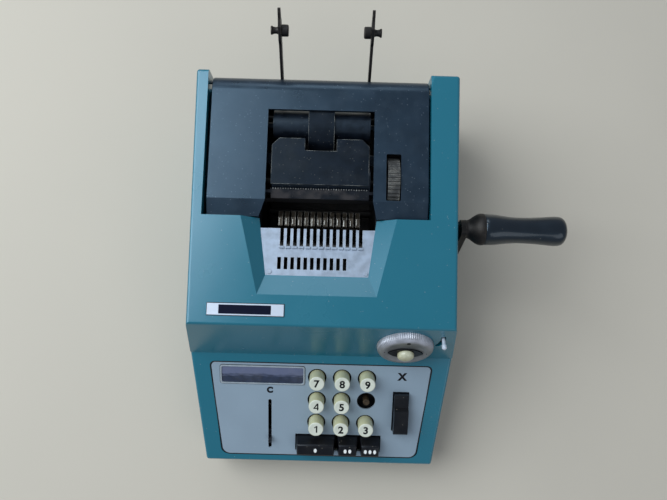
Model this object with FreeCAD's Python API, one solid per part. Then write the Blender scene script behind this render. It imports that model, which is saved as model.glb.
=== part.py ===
import FreeCAD, Part
import math
import os

# A hand-cranked printing calculator. Millimetres, X to the crank side, Y to the rear, Z up.
# While it is drawn, X = 0 is the middle of the case, Y = 0 lies under the print window
# and Z = 0 is the table. At the end everything moves to the middle of its own footprint.

V = FreeCAD.Vector

# Case
CASE_WIDTH = 197.4  # across the case where the keyboard meets the sloping face
CASE_DEPTH = 290.3  # front edge to rear face
HOOD_HEIGHT = 111.0  # table to the ridge of the hood
REAR_FLARE = 2.3  # how much further out each side stands at the rear
FRONT_TAPER = 9.5  # how much each side draws in towards the front corners
SIDE_DRAFT = 7.5  # degrees, hood sides above the belt line
WALL = 2.5
FRONT_Y = -140.3
RIDGE_Y = -33.4
FACE_DROP = 41.2  # ridge to the foot of the sloping face
FACE_RUN = 21.7
FRONT_HEIGHT = 36.0
REAR_RISE = 1.0  # how much the hood top climbs towards the rear
FRONT_LEAN = 2.0  # the front wall leans in towards the table
CASE_FLOOR = 6.5  # lower edge of the case above the table
CASE_ROUND = 2.2
LEFT_CHEEK = 8.6  # width of the hood's top beside the cover, left
RIGHT_CHEEK = 20.6
CHEEK_WALL = 2.2
CHEEK_DEPTH = 26.0
COVER_FRONT_Y = 43.0
REAR_SILL = 37.5  # rear wall's upper edge below the hood's top
FIT = 0.3  # gap between a moving piece and its neighbour
RUN = 0.05  # radial clearance of a running fit

# Base
PAN_LEVEL = 8.0
PAN_THICK = 1.6
FOOT_RADIUS = 9.0
BOSS_RADIUS = 4.5
BOSS_TOP = 30.0
SCREW_RADIUS = 1.5
SCREW_HEAD = 3.2

# Keyboard, measured down the slope from the foot of the face
PANEL_TOP = 7.5
PANEL_LENGTH = 78.0
PANEL_MARGIN = 15.3
PANEL_TAPER = 0.089
PANEL_THICK = 1.5
PANEL_GAP = 0.6
PANEL_LEDGE = 3.0
PANEL_CORNER = 3.0
PANEL_FOOT_CORNER = 6.0
KEY_PITCH = 19.0
KEY_COLUMN_X = 16.2  # middle column
KEY_ROW = 37.2  # middle row
KEY_RADIUS = 5.85
KEY_TOP = 10.9
KEY_TRAVEL = 4.0
KEY_HOLE_RADIUS = 7.1
KEY_SKIRT = 1.5  # how far a cap reaches down into its hole
KEY_DISH = 0.45
MISSING_CAP = "6"
SPIGOT_RADIUS = 2.4
SPIGOT_LOW = 5.0
SPIGOT_TOP = 2.0
STEM_WIDTH = 4.0
STEM_THICK = 1.2
STEM_LOW = 17.0
GUIDE_LEVEL = 10.0
GUIDE_THICK = 1.2
DOT_ROW = 74.1
DOT_DEPTH = 12.8
DOT_TOP = 10.5
DOT_GAP = 1.5
DOT_WIDTHS = {"key_zero": 30.6, "key_double_zero": 16.0, "key_triple_zero": 15.7}
DOT_LEFT_X = -18.2
WINDOW_LENGTH = 61.6
WINDOW_HEIGHT = 13.5
WINDOW_TOP = 11.6
WINDOW_FRAME = 2.1
WINDOW_LEFT = 7.6  # from the panel's left edge
SLOT_FROM_LEFT = 44.6
SLOT_TOP = 37.6
SLOT_LENGTH = 42.2
SLOT_WIDTH = 2.6
CLEAR_TRAVEL = 30.0
BAR_WIDTH = 11.0
BAR_TOP = 29.5
BAR_LENGTH = 31.5
BAR_FROM_RIGHT = 27.0
BAR_PIVOT_LEVEL = 4.0
POINTER_LEAD = 16.0  # column pointer beyond the pin carriage

# Selector on the sloping face, measured up the face
DIAL_FROM_RIGHT = 38.1
DIAL_UP = 21.2
DIAL_RADIUS = 20.5
DIAL_RIM = 1.3
DIAL_SHOULDER = 15.8  # radius of the crest between the rounded edge and the dished front
DIAL_HEIGHT = 6.3
DISH_RADIUS = 13.3
DISH_DEPTH = 0.8
DISC_HALF_LENGTH = 12.7
DISC_HALF_WIDTH = 6.8
DISC_THICK = 0.9
KNOB_RADIUS = 6.3
KNOB_TOP = 11.0
SPINDLE_RADIUS = 3.0
FINGER_FROM_RIGHT = 12.1
FINGER_UP = 32.0
FINGER_LENGTH = 17.0
FINGER_SWING = 33.0
FINGER_TOP = 7.6
FINGER_SLACK = 9.0  # degrees of slot beyond the lever at its upper end
BADGE = (-79.3, -26.2, 6.4, 14.6)  # left, right, front and rear edge on the hood

# Print window and type
COLUMNS = 13
COLUMN_PITCH = 4.7
FIRST_COLUMN_X = -30.2
WINDOW_FRONT_Y = 2.0
PLATE_REAR_Y = 36.0
PLATE_FRONT_DEPTH = 6.6  # below the hood's top
PLATE_REAR_DEPTH = 9.2
PLATE_THICK = 1.2
BEVEL_FRONT = 13.8
BEVEL_SIDE = 7.9
FUNNEL_FLARE = 5.0
BEVEL_EXTRA = 1.0  # the right bevel is a little wider at its foot
SLOT_TYPE_WIDTH = 2.7
LONG_SLOT_FROM = 21.4
TYPE_PIVOT_Y = 44.0
TYPE_PIVOT_Z = 40.0
TYPE_SHIFT = -2.2  # type bars stand between the plate's slots
TYPE_ROD = 2.0
TYPE_BLADE = 1.4
TYPE_HEAD = 3.0
TYPE_HEAD_TOP = 94.5
TYPE_FACE_Y = 50.5
TYPE_SWING = 8.5
RIBBON_GAP = 8.1  # type face to ribbon at rest
RIBBON_THICK = 0.3
RIBBON_HEIGHT = 12.0
RIBBON_LOW = 85.0
DECK_REACH = 33.0
SPOOL_Y = 36.0
SPOOL_OUT = 18.5
SPOOL_RADIUS = 14.0
COIL_RADIUS = 11.5
PLATEN_GAP = 1.3  # ribbon to platen
PLATEN_RADIUS = 12.5
PLATEN_SHAFT = 3.0
TABLE_DROP = 3.2  # paper table below the cover's top
TABLE_THICK = 1.2
PAPER_ROOM = 1.3
ROLLER_RADIUS = 11.6
ROLLER_GAP = 18.2
ROLLER_DROP = 3.4  # top of the rear roller below the paper table's top
WHEEL_RADIUS = 19.0
WHEEL_WIDTH = 8.4
WHEEL_RIBS = 40
WHEEL_GAP = 4.6
TEAR_TEETH = 39
TEAR_BAR_REACH = 4.5  # tear bar's toothed edge behind the platen's front
TABLE_START = 7.3  # paper table's front edge behind the platen's front
TONGUE_X = -4.1
TONGUE_WIDTH = 18.9

# Cover
COVER_THICK = 2.0
COVER_DROP = 1.8  # cover's top below the hood's top
COVER_LIP = 12.0
COVER_LIP_DROP = 3.4
COVER_ROLL = 12.0
COVER_SKIRT = 9.0
COVER_GAP_LEFT = 2.3
COVER_GAP_RIGHT = 1.0
COVER_PIN = 1.5
NOTCH_SIDE = 11.3  # opening's edge beyond the outer type columns
NOTCH_REAR_Y = 122.0
NOTCH_EASE_LEFT = 1.3  # the cover's opening beyond the paper's path
NOTCH_EASE_RIGHT = 0.7

# Frame, paper arms and drive
FRAME_LEFT = -50.0
FRAME_RIGHT = 40.0
FRAME_THICK = 2.0
BRACE_RADIUS = 3.0
ARM_LENGTH = 74.4
ARM_ANGLE = 54.0
ARM_WIDTH = 6.4
ARM_THICK = 2.0
ARM_SPREAD = 65.6
ARM_CENTRE_X = -2.2
ARM_ROD = 2.5
ROLL_ALONG = 58.2
SPINDLE_DRUM = 4.1
CRANK_Y = 31.0
CRANK_Z = 44.0
CRANK_SHAFT = 4.0
BUSH_RADIUS = 6.0
CRANK_RISE = 44.0
CRANK_BACK = 10.3
CRANK_PLATE = 4.4
CRANK_GAP = 0.6  # crank plate off the case's side
NECK_LENGTH = 12.5
NECK_RADIUS = 6.7
COLLAR_RADIUS = 11.8
GRIP_LENGTH = 61.0
GRIP_WAIST = 9.6
GRIP_END = 11.4
GRIP_SPINDLE = 3.0
GEAR_MODULE = 1.0
GEAR_TEETH = 40
PINION_TEETH = 20
GEAR_WIDTH = 5.0
REGISTER_DROP = 7.68

REAR_Y = FRONT_Y + CASE_DEPTH
STEP_Y = RIDGE_Y - FACE_RUN
STEP_Z = HOOD_HEIGHT - FACE_DROP
BELT_Z = STEP_Z
REAR_Z = HOOD_HEIGHT + REAR_RISE
HALF_STEP = CASE_WIDTH / 2
HALF_REAR = HALF_STEP + REAR_FLARE
HALF_FRONT = HALF_STEP - FRONT_TAPER
KEY_SLOPE = math.degrees(math.atan2(STEP_Z - FRONT_HEIGHT, STEP_Y - FRONT_Y))
FACE_SLOPE = math.degrees(math.atan2(FACE_DROP, FACE_RUN))
HOOD_SLOPE = math.degrees(math.atan2(REAR_RISE, REAR_Y - RIDGE_Y))
KEY_FRAME = FreeCAD.Placement(V(0, STEP_Y, STEP_Z), FreeCAD.Rotation(V(1, 0, 0), KEY_SLOPE))
FACE_FRAME = FreeCAD.Placement(V(0, STEP_Y, STEP_Z), FreeCAD.Rotation(V(1, 0, 0), FACE_SLOPE))
HOOD_FRAME = FreeCAD.Placement(V(0, RIDGE_Y, HOOD_HEIGHT), FreeCAD.Rotation(V(1, 0, 0), HOOD_SLOPE))
TROUGH_LEFT = -(HALF_REAR - math.tan(math.radians(SIDE_DRAFT)) * (REAR_Z - BELT_Z)) + LEFT_CHEEK
TROUGH_RIGHT = HALF_REAR - math.tan(math.radians(SIDE_DRAFT)) * (REAR_Z - BELT_Z) - RIGHT_CHEEK
COVER_TOP = HOOD_HEIGHT - COVER_DROP
COVER_HINGE_Y = REAR_Y - 5.5
COVER_HINGE_Z = COVER_TOP - 8.6
LAST_COLUMN_X = FIRST_COLUMN_X + (COLUMNS - 1) * COLUMN_PITCH
NOTCH_LEFT = FIRST_COLUMN_X - NOTCH_SIDE
NOTCH_RIGHT = LAST_COLUMN_X + NOTCH_SIDE - 4.0
RIBBON_Y = TYPE_FACE_Y + RIBBON_GAP
PLATEN_Y = RIBBON_Y + PLATEN_GAP + PLATEN_RADIUS
TABLE_TOP = COVER_TOP - TABLE_DROP + 2.0
PLATEN_Z = TABLE_TOP - TABLE_THICK - PAPER_ROOM - PLATEN_RADIUS
ROLLER_Y = PLATEN_Y + PLATEN_RADIUS + ROLLER_GAP + ROLLER_RADIUS
ROLLER_Z = TABLE_TOP - ROLLER_DROP - ROLLER_RADIUS
TABLE_EAR_Z = ROLLER_Z + 1.5
BRACE_Y = ROLLER_Y + 9.6
BRACE_Z = ROLLER_Z - 13.0
ARM_PIVOT_Y = REAR_Y - 10.5
ARM_PIVOT_Z = HOOD_HEIGHT - 33.0
CRANK_X = HALF_STEP + REAR_FLARE * (CRANK_Y + 25.0 - STEP_Y) / (REAR_Y - STEP_Y) + CRANK_GAP
CENTRES = GEAR_MODULE * (GEAR_TEETH + PINION_TEETH) / 2
REGISTER_Y = CRANK_Y - math.sqrt(CENTRES ** 2 - REGISTER_DROP ** 2)
REGISTER_Z = CRANK_Z - REGISTER_DROP
PAN_TOP = PAN_LEVEL + PAN_THICK


def column_x(index):
    return FIRST_COLUMN_X + index * COLUMN_PITCH


def half_width(y, z):
    """Half the case's width at a station along it and a height."""
    if y >= STEP_Y:
        half = HALF_STEP + REAR_FLARE * (y - STEP_Y) / (REAR_Y - STEP_Y)
    else:
        half = HALF_STEP - FRONT_TAPER * (STEP_Y - y) / (STEP_Y - FRONT_Y)
    return half - max(0.0, z - BELT_Z) * math.tan(math.radians(SIDE_DRAFT))


def box(x0, x1, y0, y1, z0, z1):
    return Part.makeBox(x1 - x0, y1 - y0, z1 - z0, V(x0, y0, z0))


def rod_x(radius, x0, x1, y, z):
    return Part.makeCylinder(radius, x1 - x0, V(x0, y, z), V(1, 0, 0))


def rod_z(radius, x, y, z0, z1):
    return Part.makeCylinder(radius, z1 - z0, V(x, y, z0))


def slab_x(points, x0, x1):
    """A flat shape given by (y, z) points, thick along X."""
    wire = Part.makePolygon([V(x0, y, z) for y, z in points + points[:1]])
    return Part.Face(wire).extrude(V(x1 - x0, 0, 0))


def slab_z(points, z0, z1):
    """A flat shape given by (x, y) points, thick along Z."""
    wire = Part.makePolygon([V(x, y, z0) for x, y in points + points[:1]])
    return Part.Face(wire).extrude(V(0, 0, z1 - z0))


def placed(shape, frame):
    moved = shape.copy()
    moved.Placement = frame.multiply(moved.Placement)
    return moved


def rounded(shape, radius, chosen):
    """Round the edges that a test picks by their middle point and direction."""
    edges = []
    for edge in shape.Edges:
        middle = edge.valueAt((edge.FirstParameter + edge.LastParameter) / 2)
        along = edge.tangentAt((edge.FirstParameter + edge.LastParameter) / 2)
        if chosen(middle, along):
            edges.append(edge)
    return shape.makeFillet(radius, edges)


def rounded_uprights(shape, radius):
    return rounded(shape, radius, lambda m, d: abs(d.z) > 0.999)


def turned(profile, base, axis):
    """A solid of revolution from (distance along the axis, radius) points, straight between them."""
    points = [V(d, r, 0) for d, r in profile]
    outline = [V(profile[0][0], 0, 0)] + points + [V(profile[-1][0], 0, 0)]
    face = Part.Face(Part.makePolygon(outline + outline[:1]))
    solid = face.revolve(V(0, 0, 0), V(1, 0, 0), 360)
    turn = FreeCAD.Rotation(V(1, 0, 0), axis)
    return placed(solid, FreeCAD.Placement(base, turn))


def smooth_turned(profile, base, axis):
    """The same with one smooth curve through the points, for a hand grip or a flared neck."""
    points = [V(d, r, 0) for d, r in profile]
    curve = Part.BSplineCurve()
    curve.interpolate(points)
    ends = [V(profile[-1][0], 0, 0), V(profile[0][0], 0, 0)]
    lines = [Part.makeLine(points[-1], ends[0]), Part.makeLine(ends[0], ends[1]),
             Part.makeLine(ends[1], points[0])]
    face = Part.Face(Part.Wire([curve.toShape()] + lines))
    solid = face.revolve(V(0, 0, 0), V(1, 0, 0), 360)
    turn = FreeCAD.Rotation(V(1, 0, 0), axis)
    return placed(solid, FreeCAD.Placement(base, turn))


def inset_outline(points, distance):
    """Draw a closed outline in by a distance, corner by corner."""
    count = len(points)
    area = sum(points[i][0] * points[(i + 1) % count][1] - points[(i + 1) % count][0] * points[i][1]
               for i in range(count))
    side = 1.0 if area > 0 else -1.0
    lines = []
    for i in range(count):
        (ax, ay), (bx, by) = points[i], points[(i + 1) % count]
        length = math.hypot(bx - ax, by - ay)
        nx = -side * (by - ay) / length
        ny = side * (bx - ax) / length
        lines.append((nx, ny, nx * ax + ny * ay + distance))
    result = []
    for i in range(count):
        a1, b1, c1 = lines[i - 1]
        a2, b2, c2 = lines[i]
        det = a1 * b2 - a2 * b1
        result.append(((c1 * b2 - c2 * b1) / det, (a1 * c2 - a2 * c1) / det))
    return result


def case_section(inset, floor):
    """The case's side profile as (y, z) points."""
    points = [(REAR_Y, floor - inset), (REAR_Y, REAR_Z), (RIDGE_Y, HOOD_HEIGHT), (STEP_Y, STEP_Z),
              (FRONT_Y, FRONT_HEIGHT), (FRONT_Y + FRONT_LEAN, floor - inset)]
    return inset_outline(points, inset) if inset else points


def case_form(inset, floor):
    """The solid that the case's walls go round, drawn in by the wall where it is the inside."""
    top = REAR_Z + 10

    def ring(z):
        stations = [REAR_Y + 1, STEP_Y, FRONT_Y - 1]
        halves = [half_width(y, z) - inset for y in stations]
        left = [V(-h, y, z) for h, y in zip(halves, stations)]
        right = [V(h, y, z) for h, y in zip(halves, stations)]
        corners = left + right[::-1]
        return Part.makePolygon(corners + corners[:1])

    lower = Part.Face(ring(floor)).extrude(V(0, 0, BELT_Z - floor))
    upper = Part.makeLoft([ring(BELT_Z), ring(top)], True, True)
    profile = slab_x(case_section(inset, floor), -CASE_WIDTH, CASE_WIDTH)
    return lower.fuse(upper).common(profile).removeSplitter().Solids[0]


def panel_outline(grow):
    """The keyboard panel's outline as (x, distance down the slope) corners, wider at the top."""
    half_top = HALF_STEP - PANEL_MARGIN
    half_low = half_top - PANEL_TAPER * PANEL_LENGTH
    low = PANEL_TOP + PANEL_LENGTH
    corners = [(-half_top, -PANEL_TOP), (half_top, -PANEL_TOP), (half_low, -low), (-half_low, -low)]
    return inset_outline(corners, -grow)


def panel_solid(grow, level_low, level_high):
    """The panel's form with its round corners, tight above and wide below."""
    block = slab_z(panel_outline(grow), level_low, level_high)
    middle = -PANEL_TOP - PANEL_LENGTH / 2
    block = rounded(block, PANEL_CORNER, lambda m, d: abs(d.z) > 0.999 and m.y > middle)
    return rounded(block, PANEL_FOOT_CORNER, lambda m, d: abs(d.z) > 0.999 and m.y < middle)


def half_space(points, inside, shift):
    """A big block with one face on the plane of three points, moved outwards by a shift."""
    a, b, c = points
    normal = (b - a).cross(c - a)
    normal.normalize()
    if normal.dot(inside - a) > 0:
        normal = normal * -1
    size = 400
    block = Part.makeBox(size, size, size, V(-size / 2, -size / 2, -size))
    turn = FreeCAD.Rotation(V(0, 0, 1), normal)
    return placed(block, FreeCAD.Placement(a + normal * shift, turn))


def plate_point(x, y):
    """A point on the type plate's top face."""
    share = (y - WINDOW_FRONT_Y) / (PLATE_REAR_Y - WINDOW_FRONT_Y)
    depth = PLATE_FRONT_DEPTH + (PLATE_REAR_DEPTH - PLATE_FRONT_DEPTH) * share
    return V(x, y, HOOD_HEIGHT - depth)


def funnel(grow):
    """The bevelled hollow round the print window, open to the cover's trough at the rear."""
    left, right = NOTCH_LEFT + 0.6, NOTCH_RIGHT - 0.6 - BEVEL_EXTRA
    left_rear, right_rear = left - FUNNEL_FLARE, right + 3.6 + BEVEL_EXTRA
    front = WINDOW_FRONT_Y
    low_left, low_right = plate_point(left, front), plate_point(right, front)
    rear_left, rear_right = plate_point(left_rear, PLATE_REAR_Y), plate_point(right_rear, PLATE_REAR_Y)
    inside = V((left + right) / 2, (front + PLATE_REAR_Y) / 2, HOOD_HEIGHT - 1)
    planes = [
        [low_left, low_right, V(left, front - BEVEL_FRONT, HOOD_HEIGHT)],
        [low_left, rear_left, V(left - BEVEL_SIDE, front, HOOD_HEIGHT)],
        [low_right, rear_right, V(right + BEVEL_SIDE + BEVEL_EXTRA, front, HOOD_HEIGHT)],
    ]
    form = half_space([low_left, low_right, rear_left], inside, 0)
    for plane in planes:
        form = form.common(half_space(plane, inside, grow))
    return form


def arc_slot(x, y, radius, half, first, last):
    """A cutter for a slot along an arc round (x, y), with round ends; angles in degrees."""
    low = min(first, last)
    ring = Part.makeCylinder(radius + half, 20, V(x, y, -12), V(0, 0, 1), abs(last - first))
    ring = ring.cut(Part.makeCylinder(radius - half, 20, V(x, y, -12)))
    ring.rotate(V(x, y, 0), V(0, 0, 1), low)
    ends = []
    for angle in (first, last):
        a = math.radians(angle)
        ends.append(Part.makeCylinder(half, 20, V(x + radius * math.cos(a), y + radius * math.sin(a), -12)))
    return ring.fuse(ends)


def make_case():
    """The moulded case: hood with two cheeks, bevelled print window, sloping face and keyboard part."""
    body = case_form(0, CASE_FLOOR)

    def soft(m, d):
        upright = abs(d.z) > 0.9 and (m.y < FRONT_Y + 4 or m.y > REAR_Y - 1)
        hood_side = abs(d.y) > 0.99 and m.z > HOOD_HEIGHT - 2
        board_side = abs(d.z) > 0.3 and abs(d.y) > 0.8 and m.y < STEP_Y
        across = abs(d.x) > 0.999 and m.z > CASE_FLOOR + 5 and abs(m.y - STEP_Y) > 1
        return upright or hood_side or board_side or across

    body = rounded(body, CASE_ROUND, soft)
    shell = body.cut(case_form(WALL, CASE_FLOOR - 1))
    bosses = [rod_z(BOSS_RADIUS, x, y, PAN_TOP, BOSS_TOP) for x, y in boss_places()]
    inner = body.cut(box(-CASE_WIDTH, CASE_WIDTH, FRONT_Y, REAR_Y, -1, CASE_FLOOR))
    shell = shell.fuse([b.common(inner) for b in bosses])
    shell = shell.cut([rod_z(SCREW_RADIUS, x, y, PAN_TOP - 1, BOSS_TOP - 6) for x, y in boss_places()])

    trough = box(TROUGH_LEFT, TROUGH_RIGHT, COVER_FRONT_Y, REAR_Y + 5, REAR_Z - REAR_SILL, REAR_Z + 20)
    cheeks = []
    for x in (TROUGH_LEFT - CHEEK_WALL, TROUGH_RIGHT):
        wall = box(x, x + CHEEK_WALL, COVER_FRONT_Y - WALL, REAR_Y - 1, REAR_Z - CHEEK_DEPTH, REAR_Z + 5)
        pin = rod_x(COVER_PIN, x - 1, x + CHEEK_WALL + 1, COVER_HINGE_Y, COVER_HINGE_Z)
        cheeks.append(wall.common(body).cut(pin))
    shell = shell.cut(trough).fuse(cheeks)

    rear_of_funnel = box(-CASE_WIDTH, CASE_WIDTH, COVER_FRONT_Y, REAR_Y, 0, 2 * REAR_Z)
    funnel_wall = funnel(WALL - 0.5).cut(rear_of_funnel).common(body)
    shell = shell.fuse(funnel_wall).cut(funnel(0))

    recess = placed(panel_solid(PANEL_GAP, -PANEL_THICK, 5), KEY_FRAME)
    opening = placed(panel_solid(-PANEL_LEDGE, -10, 5), KEY_FRAME)
    shell = shell.cut([recess, opening])
    dial_x = HALF_STEP - DIAL_FROM_RIGHT
    spindle = Part.makeCylinder(SPINDLE_RADIUS + RUN, 20, V(dial_x, DIAL_UP, -10))
    finger_x = HALF_STEP - FINGER_FROM_RIGHT - FINGER_LENGTH
    slot = arc_slot(finger_x, FINGER_UP, FINGER_LENGTH, 1.7, FINGER_SLACK, -FINGER_SWING)
    stud = Part.makeCylinder(1.5, 4.5, V(finger_x, FINGER_UP, -WALL - 4.4))
    shell = shell.cut([placed(spindle, FACE_FRAME), placed(slot, FACE_FRAME)]).fuse(placed(stud, FACE_FRAME))
    shell = shell.cut(rod_x(BUSH_RADIUS, HALF_STEP - 20, HALF_STEP + 20, CRANK_Y, CRANK_Z))
    return shell.removeSplitter()


def boss_places():
    """Four moulded bosses that stand against the side walls."""
    places = []
    for y in (REAR_Y - 22, FRONT_Y + 26):
        half = half_width(y, CASE_FLOOR) - WALL - BOSS_RADIUS + 1.5
        places += [(-half, y), (half, y)]
    return places


def foot_places():
    return [(side * (half_width(y, 0) - 22), y) for y in (REAR_Y - 28, FRONT_Y + 32) for side in (-1, 1)]


def make_base():
    """Base plate, feet, and the screws that hold base plate and type plate."""
    gap = WALL + 0.4
    stations = [REAR_Y - gap, STEP_Y, FRONT_Y + FRONT_LEAN + gap]
    halves = [half_width(y, 0) - gap for y in stations]
    left = [(-h, y) for h, y in zip(halves, stations)]
    right = [(h, y) for h, y in zip(halves, stations)]
    pan = slab_z(left + right[::-1], PAN_LEVEL, PAN_TOP)
    pan = pan.cut([rod_z(SCREW_RADIUS + 0.2, x, y, 0, 20) for x, y in boss_places()])
    feet = []
    for x, y in foot_places():
        profile = [(0, FOOT_RADIUS - 1.2), (1.2, FOOT_RADIUS - 0.4), (PAN_LEVEL, FOOT_RADIUS)]
        feet.append(turned(profile, V(x, y, 0), V(0, 0, 1)))
    screws = []
    for x, y in boss_places():
        screws.append(turned([(0, SCREW_HEAD - 0.6), (0.6, SCREW_HEAD), (2.0, SCREW_HEAD), (2.0, SCREW_RADIUS),
                              (16, SCREW_RADIUS)], V(x, y, PAN_LEVEL - 2.0), V(0, 0, 1)))
    for x, y in plate_screw_places():
        screw = turned([(-3.4, 0.75), (0, 0.75), (0, 1.5), (0.5, 1.5), (0.7, 1.3)], V(x, y, 0), V(0, 0, 1))
        screws.append(placed(screw, plate_frame()))
    return {"base_pan": [pan], "rubber_feet": feet, "screws": screws}


def make_type_plate():
    """Pale plate at the bottom of the print window, slotted for the type bars and above the short slots."""
    frame = plate_frame()
    left, right = NOTCH_LEFT - 5.2, NOTCH_RIGHT + 5.2
    length = (PLATE_REAR_Y - WINDOW_FRONT_Y) / math.cos(math.radians(plate_slope()))
    plate = box(left, right, -5.0, length, -PLATE_THICK, 0)
    cuts = []
    lips = []
    for i in range(COLUMNS):
        x = column_x(i)
        cuts.append(box(x - SLOT_TYPE_WIDTH / 2, x + SLOT_TYPE_WIDTH / 2, LONG_SLOT_FROM, length + 1, -3, 2))
        lip_at = V(x - SLOT_TYPE_WIDTH / 2 - 0.25, LONG_SLOT_FROM - 1.2, 0)
        lip = Part.makeCylinder(1.15, SLOT_TYPE_WIDTH + 0.5, lip_at, V(1, 0, 0))
        lips.append(lip.common(box(left, right, -5, length, -0.2, 3)))
    for i in range(COLUMNS - 2):
        x = FIRST_COLUMN_X - 1.3 + i * COLUMN_PITCH * 0.99
        cuts.append(box(x - 1.3, x + 1.3, 4.4, 13.2, -3, 2))
    cuts += [Part.makeCylinder(0.8, 6, V(x, y, -3)) for x, y in plate_screw_places()]
    plate = plate.cut(cuts).fuse(lips)
    return {"type_plate": [placed(plate.removeSplitter(), frame)]}


def plate_screw_places():
    return [(NOTCH_LEFT + 3.4, 2.4), (NOTCH_RIGHT - 3.4, 2.4)]


def plate_slope():
    drop = PLATE_REAR_DEPTH - PLATE_FRONT_DEPTH
    return math.degrees(math.atan2(drop, PLATE_REAR_Y - WINDOW_FRONT_Y))


def plate_frame():
    turn = FreeCAD.Rotation(V(1, 0, 0), -plate_slope())
    return FreeCAD.Placement(plate_point(0, WINDOW_FRONT_Y), turn)


def key_places():
    """Digit to its place as (x, distance down the slope)."""
    rows = {0: "789", 1: "456", 2: "123"}
    places = {}
    for row, digits in rows.items():
        for column, digit in enumerate(digits):
            x = KEY_COLUMN_X + (column - 1) * KEY_PITCH
            places[digit] = (x, KEY_ROW + (row - 1) * KEY_PITCH)
    return places


def dot_places():
    """Black keys as name: (middle x, width)."""
    places = {}
    x = DOT_LEFT_X
    for name, width in DOT_WIDTHS.items():
        places[name] = (x + width / 2, width)
        x += width + DOT_GAP
    return places


def stem(x, down):
    """A steel stem: round spigot for the cap, flat blade through the guide, an ear for its spring."""
    spigot = Part.makeCylinder(SPIGOT_RADIUS, SPIGOT_LOW + SPIGOT_TOP, V(x, -down, -SPIGOT_LOW))
    half = STEM_WIDTH / 2
    blade = box(x - half, x + half, -down - STEM_THICK / 2, -down + STEM_THICK / 2, -STEM_LOW, -SPIGOT_LOW)
    ear = box(x + half, x + half + 3.6, -down - STEM_THICK / 2, -down + STEM_THICK / 2,
              -STEM_LOW, -STEM_LOW + 1.2)
    return spigot.fuse([blade, ear]).removeSplitter()


def stem_spring(x, down):
    """Return spring between the guide and the stem's ear."""
    top = -GUIDE_LEVEL - GUIDE_THICK
    low = -STEM_LOW + 1.2 + FIT
    centre = V(x + STEM_WIDTH / 2 + 2.1, -down, low)
    return Part.makeCylinder(1.4, top - low, centre).cut(Part.makeCylinder(0.9, top - low, centre))


def digit_cap(x, down):
    """A round cap with a slightly hollow top and a socket for its stem."""
    low, top = -KEY_SKIRT, KEY_TOP
    body = Part.makeCone(KEY_RADIUS, KEY_RADIUS - 0.15, top - low, V(x, -down, low))
    body = rounded(body, 0.7, lambda m, d: m.z > top - 0.1)
    hollow = 30.0
    ball = Part.makeSphere(hollow, V(x, -down, top + hollow - KEY_DISH))
    socket = Part.makeCylinder(SPIGOT_RADIUS, SPIGOT_TOP - low, V(x, -down, low))
    return body.cut([ball, socket])


def dot_cap(x, width):
    """A black key: steep rear, crowned top, drawn in on every side."""
    low, top = -KEY_SKIRT, DOT_TOP
    half = width / 2
    rear, front = -DOT_ROW + DOT_DEPTH / 2, -DOT_ROW - DOT_DEPTH / 2

    def ring(z, side, back, fore):
        points = [V(x - half + side, front + fore, z), V(x + half - side, front + fore, z),
                  V(x + half - side, rear - back, z), V(x - half + side, rear - back, z)]
        return Part.makePolygon(points + points[:1])

    body = Part.makeLoft([ring(low, 0, 0, 0), ring(top, 1.3, 2.8, 1.2)], True, True)
    body = rounded(body, 0.8, lambda m, d: m.z > top - 0.1)
    places = [V(stem_x, -DOT_ROW, low) for stem_x in dot_stems(x, width)]
    sockets = [Part.makeCylinder(SPIGOT_RADIUS, SPIGOT_TOP - low, place) for place in places]
    return body.cut(sockets)


def dot_stems(x, width):
    """A wide key stands on two stems, a narrow one on one."""
    if width > KEY_PITCH + 4:
        return [x - width / 4, x + width / 4]
    return [x]


def make_keys():
    nodes = {}
    springs = []
    for digit, (x, down) in key_places().items():
        springs.append(placed(stem_spring(x, down), KEY_FRAME))
        if digit == MISSING_CAP:
            nodes["key_stem_" + digit] = [placed(stem(x, down), KEY_FRAME)]
        else:
            pieces = [digit_cap(x, down), stem(x, down)]
            nodes["key_" + digit] = [placed(p, KEY_FRAME) for p in pieces]
    for name, (x, width) in dot_places().items():
        stems = dot_stems(x, width)
        springs += [placed(stem_spring(sx, DOT_ROW), KEY_FRAME) for sx in stems]
        pieces = [dot_cap(x, width)] + [stem(sx, DOT_ROW) for sx in stems]
        nodes[name] = [placed(p, KEY_FRAME) for p in pieces]
    nodes["key_springs"] = springs
    return nodes


def window_box(shrink, level_low, level_high):
    left = -(HALF_STEP - PANEL_MARGIN) + WINDOW_LEFT
    low = -WINDOW_TOP - WINDOW_HEIGHT
    return box(left + shrink, left + WINDOW_LENGTH - shrink, low + shrink, -WINDOW_TOP - shrink,
               level_low, level_high)


def slot_x():
    return -(HALF_STEP - PANEL_MARGIN) + SLOT_FROM_LEFT


def bar_x():
    return HALF_STEP - PANEL_MARGIN - BAR_FROM_RIGHT


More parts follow.
